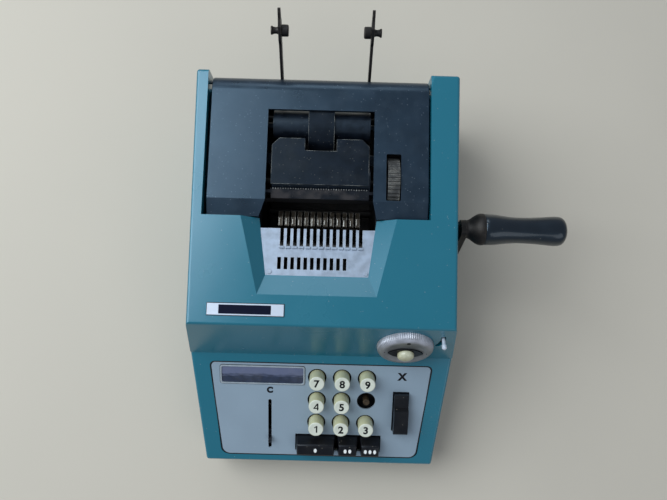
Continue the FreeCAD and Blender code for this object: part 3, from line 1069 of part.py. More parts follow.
def make_drive():
    """Crank, its shaft and gear, and the register that the gear turns."""
    gear_x = FRAME_RIGHT + 4
    shaft = rod_x(CRANK_SHAFT, FRAME_LEFT, CRANK_X + CRANK_PLATE, CRANK_Y, CRANK_Z)
    to_pinion = math.atan2(REGISTER_Z - CRANK_Z, REGISTER_Y - CRANK_Y)
    gear = spur_gear(GEAR_TEETH, GEAR_WIDTH, gear_x, CRANK_Y, CRANK_Z, to_pinion)
    gear = gear.fuse(rod_x(8.0, gear_x + GEAR_WIDTH, gear_x + GEAR_WIDTH + 4, CRANK_Y, CRANK_Z))
    gear = gear.cut(rod_x(CRANK_SHAFT, gear_x - 1, gear_x + 30, CRANK_Y, CRANK_Z)).removeSplitter()
    back = to_pinion + math.pi + math.pi / PINION_TEETH
    pinion = spur_gear(PINION_TEETH, GEAR_WIDTH, gear_x, REGISTER_Y, REGISTER_Z, back)
    register_shaft = rod_x(3.0, FRAME_LEFT, gear_x + GEAR_WIDTH + 1, REGISTER_Y, REGISTER_Z)
    wheels = []
    for i in range(COLUMNS):
        x = column_x(i)
        wheel = ribbed_wheel(9.0, 2.0, 10, x - 1.0, REGISTER_Y, REGISTER_Z)
        wheel = wheel.fuse(rod_x(5.0, x + 1.0, x + 2.6, REGISTER_Y, REGISTER_Z))
        wheels.append(wheel.cut(rod_x(3.0, x - 4, x + 4, REGISTER_Y, REGISTER_Z)))

    x0 = CRANK_X
    grip_y, grip_z = CRANK_Y + CRANK_BACK, CRANK_Z + CRANK_RISE
    lean = math.atan2(CRANK_RISE, CRANK_BACK)
    length = math.hypot(CRANK_RISE, CRANK_BACK)
    across = V(0, -math.sin(lean), math.cos(lean))
    along = V(0, math.cos(lean), math.sin(lean))
    centre = V(0, CRANK_Y, CRANK_Z)
    corners = [centre + across * 10.8, centre + along * length + across * NECK_RADIUS,
               centre + along * length - across * NECK_RADIUS, centre - across * 10.8]
    arm = slab_x([(p.y, p.z) for p in corners], x0, x0 + CRANK_PLATE)
    arm = arm.fuse([rod_x(12.0, x0, x0 + CRANK_PLATE, CRANK_Y, CRANK_Z),
                    rod_x(NECK_RADIUS, x0, x0 + CRANK_PLATE, grip_y, grip_z)])
    neck_x = x0 + CRANK_PLATE
    neck = smooth_turned([(-1.0, NECK_RADIUS + 0.2), (0.6, NECK_RADIUS), (1.8, NECK_RADIUS + 0.4),
                          (5.2, NECK_RADIUS + 2.6), (8.8, COLLAR_RADIUS - 0.4), (NECK_LENGTH - 1.8, COLLAR_RADIUS),
                          (NECK_LENGTH, COLLAR_RADIUS - 0.1)], V(neck_x, grip_y, grip_z), V(1, 0, 0))
    spindle = rod_x(GRIP_SPINDLE, x0 + 1, neck_x + NECK_LENGTH + GRIP_LENGTH - 6, grip_y, grip_z)
    head_x = neck_x + NECK_LENGTH + GRIP_LENGTH - 9
    spindle = spindle.fuse(rod_x(GRIP_SPINDLE + 1.5, head_x, head_x + 3, grip_y, grip_z)).removeSplitter()
    arm = arm.fuse(neck).cut([rod_x(CRANK_SHAFT, x0 - 5, x0 + 9, CRANK_Y, CRANK_Z),
                              rod_x(GRIP_SPINDLE, x0 - 5, x0 + 60, grip_y, grip_z)]).removeSplitter()
    grip_x = neck_x + NECK_LENGTH + FIT
    end = GRIP_LENGTH
    grip = smooth_turned([(0, COLLAR_RADIUS - 0.3), (5, COLLAR_RADIUS - 0.25), (14, GRIP_WAIST + 1.0),
                          (end * 0.45, GRIP_WAIST), (end * 0.68, GRIP_WAIST + 0.5), (end - 9, GRIP_END),
                          (end - 4.5, GRIP_END - 0.2), (end - 1.6, GRIP_END - 2.4), (end - 0.2, GRIP_END - 6.2),
                          (end, 0.4)], V(grip_x, grip_y, grip_z), V(1, 0, 0))
    bore = rod_x(GRIP_SPINDLE + RUN, grip_x - 1, head_x, grip_y, grip_z)
    pocket = rod_x(GRIP_SPINDLE + 1.5 + FIT, head_x - FIT, head_x + 3 + FIT, grip_y, grip_z)
    grip = grip.cut([bore, pocket])

    bush_x = half_width(CRANK_Y, CRANK_Z)
    bush = rod_x(BUSH_RADIUS, bush_x - WALL - 4, bush_x + 0.4, CRANK_Y, CRANK_Z)
    inner = bush_x - WALL - 0.12
    bush = bush.fuse(rod_x(BUSH_RADIUS + 2.5, inner - 1.6, inner, CRANK_Y, CRANK_Z))
    bush = bush.cut(rod_x(CRANK_SHAFT + RUN, bush_x - 30, bush_x + 5, CRANK_Y, CRANK_Z)).removeSplitter()
    return {"crank_shaft": [shaft], "drive_gear": [gear], "register_shaft": [register_shaft, pinion.cut(
        rod_x(3.0, gear_x - 1, gear_x + 9, REGISTER_Y, REGISTER_Z))], "register_wheels": wheels,
            "crank_arm": [arm], "grip_spindle": [spindle], "handle_grip": [grip], "shaft_bushing": [bush],
            "return_spring": [return_spring(gear_x + GEAR_WIDTH + 7)]}


def return_spring(x0):
    """Coil round the crank shaft that brings the handle back up, with its tail on the base plate."""
    wire = 1.0
    radius = CRANK_SHAFT + 3.0
    turns, pitch = 5, 3.2
    helix = Part.makeHelix(pitch, pitch * turns, radius)
    section = Part.Wire(Part.makeCircle(wire, V(radius, 0, 0), V(0, 1, 0)))
    coil = Part.Wire(helix).makePipeShell([section], True, True)
    turn = FreeCAD.Rotation(V(0, 0, 1), V(1, 0, 0))
    coil = placed(coil, FreeCAD.Placement(V(x0, CRANK_Y, CRANK_Z), turn))
    tail = rod_z(wire, x0, CRANK_Y, PAN_TOP, CRANK_Z - radius)
    return coil.fuse(tail)


def make_carriage():
    """Pin carriage on its rails under the keyboard, with the pointer that shows behind the window."""
    y_rear, y_front = STEP_Y - 17.0, STEP_Y - 51.0
    low, top = PAN_TOP + 1.4, PAN_TOP + 9.9
    left = KEY_COLUMN_X - KEY_PITCH - 2.0
    right = left + 50.0
    rail_z = low + 4.2
    rails_y = [y_rear - 6, y_front + 6]
    block = box(left, right, y_front, y_rear, low, top)
    pins = []
    for column in range(10):
        for row in range(3):
            x = left + 3 + column * 4.8
            y = y_front + 12 + row * 5
            pins.append(box(x, x + 1.4, y, y + 1.4, top, top + 1.0))
    block = block.fuse(pins).cut([rod_x(2.0 + RUN, left - 1, right + 1, y, rail_z) for y in rails_y])
    reach = left - POINTER_LEAD
    foot = box(reach, left, y_rear - 3.0, y_rear - 1.0, low + 1, top - 1)
    down = 24.0
    flag_point = KEY_FRAME.multVec(V(reach, -down, -5.0))
    mast = box(reach, reach + 3.0, y_rear - 3.0, y_rear - 1.0, low + 1, flag_point.z - 4)
    flag = box(reach, reach + 5.0, -down - 1.0, -WINDOW_TOP - 3.2, -5.0, -4.0)
    flag = placed(flag, KEY_FRAME)
    link = slab_x([(y_rear - 3.0, flag_point.z - 8), (y_rear - 1.0, flag_point.z - 8),
                   (flag_point.y + 1.2, flag_point.z + 0.8), (flag_point.y - 0.8, flag_point.z)],
                  reach, reach + 3.0)
    pointer = foot.fuse([mast, link, flag]).removeSplitter()
    ends = []
    x_left, x_right = left - 60, right + 12
    for x in (x_left, x_right):
        ends.append(box(x, x + 2, rails_y[1] - 4, rails_y[0] + 2.6, PAN_TOP, rail_z + 5))
    rods = [rod_x(2.0, x_left, x_right + 2, y, rail_z) for y in rails_y]
    ends = [e.cut(rods) for e in ends]
    return {"pin_carriage": [block.removeSplitter()], "column_pointer": [pointer], "carriage_rails": rods + ends}


def all_nodes():
    nodes = {"body_shell": [make_case()]}
    for maker in (make_base, make_keyboard, make_keys, make_selector, make_badge, make_type_plate, make_type_unit,
                  make_platen, make_cover, make_paper_arms, make_frame, make_drive, make_carriage):
        nodes.update(maker())
    return nodes


def main():
    nodes = all_nodes()
    bounds = FreeCAD.BoundBox()
    for shape in [s for shapes in nodes.values() for s in shapes]:
        bounds.add(shape.optimalBoundingBox(False, False))
    shift = V(-bounds.Center.x, -bounds.Center.y, 0)
    print("shift to the footprint's middle", round(shift.x, 4), round(shift.y, 4))
    print("overall", round(bounds.XLength, 2), round(bounds.YLength, 2), round(bounds.ZLength, 2))
    os.makedirs("parts", exist_ok=True)
    for name, shapes in nodes.items():
        solids = [solid for shape in shapes for solid in shape.Solids]
        if len(solids) != len(shapes):
            print("check", name, len(shapes), "pieces came out as", len(solids), "solids")
        group = solids[0] if len(solids) == 1 else Part.makeCompound(solids)
        group = group.copy()
        group.translate(shift)
        group.exportStep("parts/" + name + ".step")
    print(len(nodes), "nodes")


main()
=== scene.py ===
import logging
import math
from dataclasses import dataclass, field
from enum import Enum

import bmesh
import bpy
from mathutils import Matrix, Vector


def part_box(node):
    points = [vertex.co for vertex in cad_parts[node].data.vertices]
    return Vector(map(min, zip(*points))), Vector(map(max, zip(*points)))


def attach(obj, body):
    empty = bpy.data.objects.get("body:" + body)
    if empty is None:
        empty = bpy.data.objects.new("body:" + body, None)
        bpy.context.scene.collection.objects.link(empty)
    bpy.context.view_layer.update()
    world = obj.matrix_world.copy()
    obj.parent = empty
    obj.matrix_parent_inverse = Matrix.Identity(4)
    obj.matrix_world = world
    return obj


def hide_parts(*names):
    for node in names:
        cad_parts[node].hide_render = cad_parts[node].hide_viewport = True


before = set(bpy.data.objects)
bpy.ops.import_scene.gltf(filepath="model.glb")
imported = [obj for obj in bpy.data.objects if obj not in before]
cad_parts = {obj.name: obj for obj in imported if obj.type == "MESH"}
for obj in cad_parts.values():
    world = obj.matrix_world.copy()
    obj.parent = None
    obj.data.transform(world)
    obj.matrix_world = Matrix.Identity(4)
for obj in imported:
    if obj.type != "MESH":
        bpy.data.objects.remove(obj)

LOG = logging.getLogger("adding_machine")
MM = 0.001
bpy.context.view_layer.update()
Colour = tuple[float, float, float]
Point = tuple[float, float]
Spot = tuple[float, float, float]
Box = tuple[float, float, float, float]
Socket = bpy.types.NodeSocket
Mesh = bmesh.types.BMesh


def srgb(red: int, green: int, blue: int) -> Colour:
    """Turn a colour as seen on a screen into the linear one that a shader takes.

    Args:
        red: Red from 0 to 255.
        green: Green from 0 to 255.
        blue: Blue from 0 to 255.

    Returns:
        The linear colour.
    """
    def channel(value: int) -> float:
        """One channel of the colour, made linear."""
        share = value / 255
        return share / 12.92 if share <= 0.04045 else ((share + 0.055) / 1.055) ** 2.4

    return channel(red), channel(green), channel(blue)


class Body(Enum):
    """The bodies that new pieces ride on, apart from the keys' own, which are named after their keys."""

    FRAME = "frame"
    GRIP = "grip"
    TYPE = "type"
    SELECTOR = "selector"


class Noise(Enum):
    """The noise patterns of fixed size: features to the metre, and octaves."""

    STREAKS = (130.0, 3.0)
    DUST = (90.0, 8.0)
    GRAINS = (260.0, 2.0)
    EDGE_WEAR_AND_GLINT = (160.0, 6.0)


@dataclass(frozen=True)
class Finish:
    """A surface: its colour and gloss, and the small unevenness that makes it look real.

    Lengths are in metres. Every pattern is laid out in the part's own space. Mottle varies colour and
    gloss, grain is a fine relief that brushed draws out, and dust, specks and edge lie over the colour.
    The edge line is rubbed wear on some finishes and a painted highlight on others. The painted side
    shade darkens steep sides as painted shade, the painted rear reflection tints the rear half as a
    painted reflection, and glint tints the reflections.
    """

    name: str
    colour: Colour
    rough: float
    metal: float = 0.0
    coat: float = 0.0
    coat_rough: float = 0.08
    mottle: float = 0.12
    mottle_size: float = 0.03
    grain: float = 0.1
    grain_size: float = 0.0008
    brushed: Colour = (1.0, 1.0, 1.0)
    dust: float = 0.0
    dust_colour: Colour = (0.42, 0.38, 0.31)
    specks: float = 0.0
    edge: float = 0.0
    edge_wear_and_glint_colour: Colour = (0.6, 0.6, 0.6)
    edge_wear_and_glint_size: float = 0.0006
    specular: float = 0.5
    glint: Colour = (1.0, 1.0, 1.0)
    painted_side_shade: float = 0.0
    painted_side_shade_colour: Colour = (0.5, 0.5, 0.5)
    painted_rear_reflection: float = 0.0
    painted_rear_reflection_colour: Colour = (0.5, 0.5, 0.5)

    def material(self) -> bpy.types.Material:
        """Find the finish's material, or build it the first time.

        Returns:
            The node material.
        """
        made = bpy.data.materials.get(self.name)
        if made:
            return made
        made = bpy.data.materials.new(self.name)
        made.use_nodes = True
        sheet = ShaderSheet(made)
        wide = sheet.noise(1 / self.mottle_size, sheet.CLOUD_OCTAVES)
        spread = sheet.ramp(wide, low=0.3, high=0.7, first=1 - self.mottle, last=1 + self.mottle * 0.6)
        colour = sheet.scaled(self.colour, spread)
        rough = sheet.ramp(wide, low=0.25, high=0.75, first=self.rough * 0.85, last=self.rough * 1.2)
        # Painted shade: steep sides are tinted towards a darker side colour.
        if self.painted_side_shade:
            colour = sheet.tint(sheet.steep(), self.painted_side_shade, colour, self.painted_side_shade_colour)
        # Painted reflection: the rear half is tinted towards a paler colour.
        if self.painted_rear_reflection:
            colour = sheet.tint(sheet.rear_half(), self.painted_rear_reflection, colour, self.painted_rear_reflection_colour)
        # The edge line is rubbed wear on some finishes and a painted highlight on others.
        if self.edge:
            colour = sheet.tint(sheet.rim(self.edge_wear_and_glint_size), self.edge, colour, self.edge_wear_and_glint_colour)
        if self.dust:
            film = sheet.film(self.dust)
            colour = sheet.mix(film, colour, self.dust_colour)
            rough = sheet.math("ADD", rough, sheet.math("MULTIPLY", film, sheet.DUST_ROUGHNESS))
        if self.specks:
            colour = sheet.mix(sheet.specks(self.specks), colour, self.dust_colour)
        fine = sheet.noise(1 / self.grain_size, sheet.GRAIN_OCTAVES, sheet.stretched(self.brushed))
        relief = sheet.node("ShaderNodeBump", Strength=self.grain, Height=fine,
                            Distance=self.grain_size * sheet.GRAIN_HEIGHT)
        for name, value in (("Base Color", colour), ("Roughness", rough), ("Metallic", self.metal),
                            ("Coat Weight", self.coat), ("Coat Roughness", self.coat_rough),
                            ("Specular IOR Level", self.specular), ("Specular Tint", self.glint),
                            ("Normal", relief.outputs["Normal"])):
            sheet.feed(sheet.shader.inputs[name], value)
        return made

    def dress(self, piece: bpy.types.Object) -> bpy.types.Object:
        """Give a piece this finish in all its material slots.

        Args:
            piece: The piece, or a node of the frame.

        Returns:
            The same piece.
        """
        made = self.material()
        if not piece.material_slots:
            piece.data.materials.append(made)
        for slot in piece.material_slots:
            slot.material = made
        return piece


class ShaderSheet:
    """A small drawing board for one material's nodes.

    The Mix node has a set of sockets for each kind of value, so those for colours go by their number.
    """

    CLOUD_OCTAVES = 5.0
    GRAIN_OCTAVES = 3.0
    GRAIN_HEIGHT = 0.3
    DUST_ROUGHNESS = 0.6
    STREAK_STRETCH = (1.0, 6.0, 1.0)
    SPECK_CELLS = 420.0
    RIM_SAMPLES = 4
    MIX_COLOURS = (6, 7)
    MIX_RESULT = 2

    def __init__(self, made: bpy.types.Material) -> None:
        """Start with the shader that the new material already has, and with the part's own space.

        Args:
            made: The material to draw in.
        """
        self.tree = made.node_tree
        self.shader = next(n for n in self.tree.nodes if n.type == "BSDF_PRINCIPLED")
        self.place = self.node("ShaderNodeTexCoord").outputs["Object"]

    def node(self, kind: str, **inputs: object) -> bpy.types.Node:
        """Add a node.

        Args:
            kind: Blender's name for the kind.
            inputs: What each input is fed. An underscore stands for a space in the input's name.

        Returns:
            The node.
        """
        made = self.tree.nodes.new(kind)
        for name, value in inputs.items():
            self.feed(made.inputs[name.replace("_", " ")], value)
        return made

    def feed(self, socket: Socket, value: object) -> None:
        """Set a socket from another node's output, a number or a colour.

        Args:
            socket: The input to set.
            value: An output socket, a number or a colour.
        """
        if isinstance(value, bpy.types.NodeSocket):
            self.tree.links.new(value, socket)
        elif isinstance(value, tuple) and len(socket.default_value) == 4:
            socket.default_value = (*value, 1.0)
        else:
            socket.default_value = value

    def math(self, operation: str, first: object, second: object) -> Socket:
        """Join two values by a sum, product or the like, kept between 0 and 1.

        Args:
            operation: Blender's name for the operation.
            first: An output socket or a number.
            second: An output socket or a number.

        Returns:
            The result's socket.
        """
        made = self.node("ShaderNodeMath")
        made.operation = operation
        made.use_clamp = True
        for socket, value in zip(made.inputs, (first, second)):
            self.feed(socket, value)
        return made.outputs[0]

    def noise(self, scale: float, octaves: float, place: Socket | None = None) -> Socket:
        """Cloudy noise with a scale in features to the metre, in the part's space unless told otherwise."""
        source = place or self.place
        return self.node("ShaderNodeTexNoise", Scale=scale, Detail=octaves, Vector=source).outputs["Fac"]

    def stretched(self, scale: Colour) -> Socket:
        """The part's space with a factor for each axis, as brushed metal and streaks have it."""
        return self.node("ShaderNodeMapping", Scale=scale, Vector=self.place).outputs["Vector"]

    def ramp(self, value: Socket, low: float, high: float, first: float, last: float) -> Socket:
        """Map a value from one range to another, smoothly and without leaving it.

        Args:
            value: The value to map.
            low: Where the result is first.
            high: Where the result is last.
            first: The result at low.
            last: The result at high.

        Returns:
            The mapped value.
        """
        made = self.node("ShaderNodeMapRange", Value=value, From_Min=low, From_Max=high, To_Min=first,
                         To_Max=last)
        made.interpolation_type = "SMOOTHSTEP"
        return made.outputs["Result"]

    def scaled(self, colour: Colour, factor: Socket) -> Socket:
        """A colour made lighter and darker by a factor that varies.

        Args:
            colour: The middle colour.
            factor: The factor.

        Returns:
            The varied colour.
        """
        made = self.node("ShaderNodeVectorMath")
        made.operation = "SCALE"
        self.feed(made.inputs[0], colour)
        self.feed(made.inputs["Scale"], factor)
        return made.outputs["Vector"]

    def mix(self, factor: Socket, first: object, second: object) -> Socket:
        """Blend two colours.

        Args:
            factor: Share of the second.
            first: A socket or a colour.
            second: A socket or a colour.

        Returns:
            The blended colour.
        """
        made = self.node("ShaderNodeMix")
        made.data_type = "RGBA"
        self.feed(made.inputs[0], factor)
        for index, value in zip(self.MIX_COLOURS, (first, second)):
            self.feed(made.inputs[index], value)
        return made.outputs[self.MIX_RESULT]

    def tint(self, pattern: Socket, amount: float, first: object, second: object) -> Socket:
        """Blend two colours by a pattern, whose full strength gives this amount of the second."""
        return self.mix(self.math("MULTIPLY", pattern, amount), first, second)

    def axis(self, kind: str, output: str, axis: str) -> Socket:
        """One axis of a direction or a place that a kind of node puts out."""
        return self.node("ShaderNodeSeparateXYZ", Vector=self.node(kind).outputs[output]).outputs[axis]

    def steep(self) -> Socket:
        """0 on a surface that is level in the part's space, and 1 on an upright one."""
        height = self.axis("ShaderNodeTexCoord", "Normal", "Z")
        return self.ramp(height, low=0.45, high=0.85, first=1.0, last=0.0)

    def rear_half(self) -> Socket:
        """The rear half of a piece, with an uneven streaky border.

        Returns:
            0 at the front and 1 at the rear.
        """
        depth = self.axis("ShaderNodeTexCoord", "Generated", "Y")
        streaks = self.noise(*Noise.STREAKS.value, self.stretched(self.STREAK_STRETCH))
        uneven = self.math("ADD", depth, self.math("MULTIPLY", streaks, 0.5))
        return self.ramp(uneven, low=0.62, high=0.85, first=0.0, last=1.0)

    def film(self, amount: float) -> Socket:
        """Dust that lies in patches on what faces up.

        Args:
            amount: The most that it covers.

        Returns:
            The cover, from 0 to 1.
        """
        height = self.axis("ShaderNodeNewGeometry", "Normal", "Z")
        upward = self.ramp(height, low=0.2, high=0.95, first=0.0, last=1.0)
        patches = self.ramp(self.noise(*Noise.DUST.value), low=0.42, high=0.72, first=0.15, last=1.0)
        return self.math("MULTIPLY", self.math("MULTIPLY", patches, upward), amount)

    def specks(self, amount: float) -> Socket:
        """Single grains of dust.

        Args:
            amount: How many there are. 1 is many.

        Returns:
            The cover, from 0 to 1.
        """
        cells = self.node("ShaderNodeTexVoronoi", Scale=self.SPECK_CELLS, Vector=self.place)
        near = self.ramp(cells.outputs["Distance"], low=0.05, high=0.16, first=1.0, last=0.0)
        grains, more = self.noise(*Noise.GRAINS.value), amount * 0.12
        here = self.ramp(grains, low=0.62 - more, high=0.66 - more, first=0.0, last=0.8)
        return self.math("MULTIPLY", near, here)

    def rim(self, size: float) -> Socket:
        """The line along sharp edges: rubbed wear on some finishes, a painted highlight on others.

        Args:
            size: How wide the line is.

        Returns:
            The share of the edge line, from 0 to 1.
        """
        bevel = self.node("ShaderNodeBevel", Radius=size)
        bevel.samples = self.RIM_SAMPLES
        dot = self.node("ShaderNodeVectorMath")
        dot.operation = "DOT_PRODUCT"
        for socket, source in zip(dot.inputs, (bevel, self.node("ShaderNodeNewGeometry"))):
            self.feed(socket, source.outputs["Normal"])
        turned = self.ramp(dot.outputs["Value"], low=0.9, high=0.995, first=1.0, last=0.0)
        patches = self.ramp(self.noise(*Noise.EDGE_WEAR_AND_GLINT.value), low=0.4, high=0.6, first=0.1, last=1.0)
        return self.math("MULTIPLY", turned, patches)


class Finishes:
    """Every finish of the machine by the name of what it is on."""

    TEAL = Finish(
        "teal_case", srgb(20, 103, 122), 0.24, coat=0.25, coat_rough=0.18, mottle=0.02, mottle_size=0.06,
        grain=0.03, grain_size=0.0006, specks=0.3, dust_colour=srgb(150, 160, 160), specular=0.85,
        glint=(0.66, 0.84, 1.0))
    COVER = Finish(
        "dark_cover", srgb(19, 29, 41), 0.3, coat=0.2, coat_rough=0.24, mottle=0.2, mottle_size=0.02,
        grain=0.12, grain_size=0.0009, dust=0.04, dust_colour=srgb(112, 122, 132), specks=1.3, edge=0.3,
        edge_wear_and_glint_colour=srgb(74, 84, 96), specular=0.7, glint=(0.42, 0.72, 1.0))
    TABLE = Finish(
        "dark_sheet", srgb(10, 15, 24), 0.38, coat=0.1, coat_rough=0.25, mottle=0.35, mottle_size=0.008,
        grain=0.15, grain_size=0.0009, dust=0.05, dust_colour=srgb(96, 96, 92), specks=1.5, edge=0.9,
        edge_wear_and_glint_colour=srgb(150, 152, 146), specular=0.22, glint=(0.5, 0.75, 1.0))
    SOOT = Finish(
        "blackened_steel", srgb(20, 21, 24), 0.55, mottle=0.3, mottle_size=0.006, grain=0.2, specular=0.25)
    # Painted highlight: the pale edge line stands for light catching the panel's rim.
    PANEL = Finish(
        "panel_paint", srgb(140, 157, 171), 0.42, coat=0.15, mottle=0.03, grain=0.08, specks=0.3,
        dust_colour=srgb(170, 176, 180), edge=0.5, edge_wear_and_glint_colour=srgb(178, 188, 196),
        glint=(0.7, 0.87, 1.0))
    # Painted highlight: the near-white edge line stands for glints on the slot lips and edges. The dust is
    # real.
    PLATE = Finish(
        "type_plate_metal", srgb(157, 171, 189), 0.44, metal=0.35, mottle=0.18, mottle_size=0.006,
        grain=0.25, grain_size=0.0009, dust=0.12, dust_colour=srgb(110, 106, 98), edge=0.6,
        edge_wear_and_glint_colour=srgb(225, 230, 236))
    STEEL = Finish(
        "plain_steel", srgb(150, 150, 148), 0.34, metal=1.0, mottle=0.18, mottle_size=0.01, grain=0.15,
        brushed=(0.08, 1.0, 1.0), dust=0.1)
    # Painted glint: the pale edge line on the type heads stands for light catching them.
    TYPE = Finish(
        "type_steel", srgb(60, 54, 46), 0.35, metal=0.6, mottle=0.5, mottle_size=0.003, grain=0.4,
        grain_size=0.0006, edge=0.8, edge_wear_and_glint_colour=srgb(215, 212, 204), edge_wear_and_glint_size=0.0004)
    DARK_STEEL = Finish(
        "blued_steel", srgb(24, 23, 24), 0.42, metal=0.3, mottle=0.4, mottle_size=0.006, grain=0.25,
        dust=0.1, dust_colour=srgb(96, 84, 70), edge=0.4, edge_wear_and_glint_colour=srgb(120, 110, 98), specular=0.4)
    TYPE_EDGE = Finish(
        "pale_tip", srgb(178, 180, 176), 0.4, metal=0.3, mottle=0.5, mottle_size=0.002, grain=0.3)
    RUBBED = Finish(
        "rubbed_sheet", srgb(16, 20, 27), 0.5, coat=0.1, mottle=0.4, mottle_size=0.004, grain=0.3, dust=0.5,
        dust_colour=srgb(92, 86, 84), specks=1.5, specular=0.25, glint=(0.6, 0.8, 1.0))
    # Painted glint: the near-white strips laid on the type heads.
    BRIGHT = Finish(
        "painted_glint_steel", srgb(226, 226, 218), 0.3, metal=0.35, mottle=0.3, mottle_size=0.002, grain=0.2)
    # Painted reflection: a pale bluish surface that is mostly not metal, whose colour stands for the chrome's
    # bright reflection.
    CHROME = Finish(
        "badge_chrome", srgb(198, 208, 222), 0.3, metal=0.15, mottle=0.05, grain=0.03, specks=0.3)
    ENAMEL = Finish(
        "dark_enamel", srgb(6, 12, 36), 0.45, specular=0.08, mottle=0.15, mottle_size=0.004, grain=0.03,
        specks=0.3)
    # Painted shade: the keys' steep sides take a darker yellowish side shade.
    CREAM = Finish(
        "cream_key", srgb(214, 218, 204), 0.32, coat=0.3, coat_rough=0.12, mottle=0.05, mottle_size=0.005,
        grain=0.05, painted_side_shade=0.9, painted_side_shade_colour=srgb(192, 190, 148))
    # Painted shade: the knob's steep sides take a darker side shade.
    IVORY = Finish(
        "ivory_knob", srgb(202, 202, 176), 0.35, coat=0.3, coat_rough=0.12, mottle_size=0.003, grain=0.2,
        painted_side_shade=0.5, painted_side_shade_colour=srgb(170, 164, 124))
    STUB = Finish(
        "old_brass", srgb(74, 60, 44), 0.5, metal=0.4, mottle=0.5, mottle_size=0.002, grain=0.3, edge=0.6,
        edge_wear_and_glint_colour=srgb(120, 104, 80))
    BLACK = Finish(
        "black_key", srgb(12, 12, 17), 0.32, coat=0.2, coat_rough=0.15, mottle=0.15, dust=0.015,
        specks=0.6, edge=0.25, edge_wear_and_glint_colour=srgb(72, 76, 84), specular=0.2, glint=(0.7, 0.85, 1.0))
    GRIP = Finish(
        "grip_gloss", srgb(8, 10, 15), 0.3, coat=0.6, coat_rough=0.12, mottle=0.2, mottle_size=0.012,
        grain=0.05, specks=0.5, glint=(0.4, 0.7, 1.0), edge=0.3, edge_wear_and_glint_colour=srgb(80, 84, 90))
    RUBBER = Finish(
        "black_rubber", srgb(24, 28, 34), 0.5, mottle=0.25, mottle_size=0.01, grain=0.3, grain_size=0.0005,
        dust=0.06, specks=1.0, specular=0.4, glint=(0.6, 0.8, 1.0))
    RIBBON = Finish("inked_fabric", srgb(12, 12, 16), 0.85, mottle=0.2, grain=0.6, grain_size=0.0003)
    BEZEL = Finish(
        "bezel_paint", srgb(150, 160, 168), 0.35, coat=0.3, mottle=0.05, grain=0.08, edge=0.6,
        edge_wear_and_glint_colour=srgb(205, 212, 216))
    # Painted reflection: the rear half of the pane takes a pale lavender colour for the sky's reflection. The
    # dust is real.
    LENS = Finish(
        "window_pane", srgb(30, 44, 70), 0.2, coat=0.5, coat_rough=0.1, mottle=0.3, mottle_size=0.004,
        grain=0.03, dust=0.05, painted_rear_reflection=0.75, painted_rear_reflection_colour=srgb(104, 112, 142))
    # Painted light: the dark olive side shade is painted shade on the dial's steep shoulder, and the
    # near-white edge line is a painted highlight. Dust and specks are dirt.
    DIAL = Finish(
        "dial_metal", srgb(172, 175, 186), 0.42, metal=0.4, mottle=0.22, mottle_size=0.005, grain=0.35,
        dust=0.08, dust_colour=srgb(120, 118, 100), specks=0.8, edge=0.5, edge_wear_and_glint_colour=srgb(236, 238, 244),
        painted_side_shade=0.6, painted_side_shade_colour=srgb(92, 96, 84))
    ROLL = Finish(
        "roller_black", srgb(14, 19, 28), 0.4, coat=0.2, coat_rough=0.25, mottle=0.4, mottle_size=0.005,
        grain=0.2, specks=1.2, dust_colour=srgb(110, 112, 110), specular=0.4, glint=(0.5, 0.75, 1.0))
    # Painted highlight: the pale edge line stands for light on the thumbwheel's ribs. The dust is real.
    HIGHLIT_WHEEL = Finish(
        "wheel_dust_and_highlights", srgb(40, 42, 44), 0.5, mottle=0.4, mottle_size=0.003, grain=0.3, dust=0.1,
        dust_colour=srgb(120, 118, 108), edge=1.0, edge_wear_and_glint_colour=srgb(168, 166, 158), edge_wear_and_glint_size=0.0005)
    NYLON = Finish("wheel_nylon", srgb(205, 200, 184), 0.5, mottle=0.08)
    WHITE = Finish("white_mark", srgb(238, 240, 238), 0.45, mottle=0.04, grain=0.05)
    INK = Finish("legend_ink", srgb(10, 12, 18), 0.5, mottle=0.1, grain=0.05, specular=0.2)
    FLOOR = Finish(
        "floor_paint", srgb(196, 189, 176), 0.8, mottle=0.02, mottle_size=0.2, grain=0.03, specular=0.2)


@dataclass(frozen=True)
class Bench:
    """Where the drawing's measures lie in the frame. The drawing is in millimetres, with X = 0 in the
    middle of the case and Y = 150 at its rear face."""

    step_y: float = -55.1
    step_z: float = 69.8
    ridge_y: float = -33.4
    ridge_z: float = 111.0
    board_slope: float = math.atan2(33.8, 85.2)
    face_slope: float = math.atan2(41.2, 21.7)
    hood_slope: float = math.atan2(1.0, 183.4)
    rear_y: float = 150.0

    def shift(self) -> Vector:
        """The drawing's origin in the frame, in metres."""
        low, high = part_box("body_shell")
        return Vector(((low.x + high.x) / 2, high.y - self.rear_y * MM, 0.0))

    def table(self) -> Matrix:
        """The drawing's own axes."""
        return Matrix.Translation(self.shift()) @ Matrix.Scale(MM, 4)

    def tilted(self, y: float, z: float, slope: float) -> Matrix:
        """Axes on a sloping surface: X across, Y up the slope, Z out of it.

        Args:
            y: Where the axes start, along the case.
            z: Where they start, above the table.
            slope: The slope, in radians.

        Returns:
            The matrix from those axes to the frame.
        """
        return self.table() @ Matrix.Translation((0, y, z)) @ Matrix.Rotation(slope, 4, "X")

    def board(self) -> Matrix:
        """Axes on the keyboard, from the foot of the sloping face."""
        return self.tilted(self.step_y, self.step_z, self.board_slope)

    def face(self) -> Matrix:
        """Axes on the sloping face, from its foot."""
        return self.tilted(self.step_y, self.step_z, self.face_slope)

    def hood(self) -> Matrix:
        """Axes on the hood's top, from its front ridge."""
        return self.tilted(self.ridge_y, self.ridge_z, self.hood_slope)


BENCH = Bench()


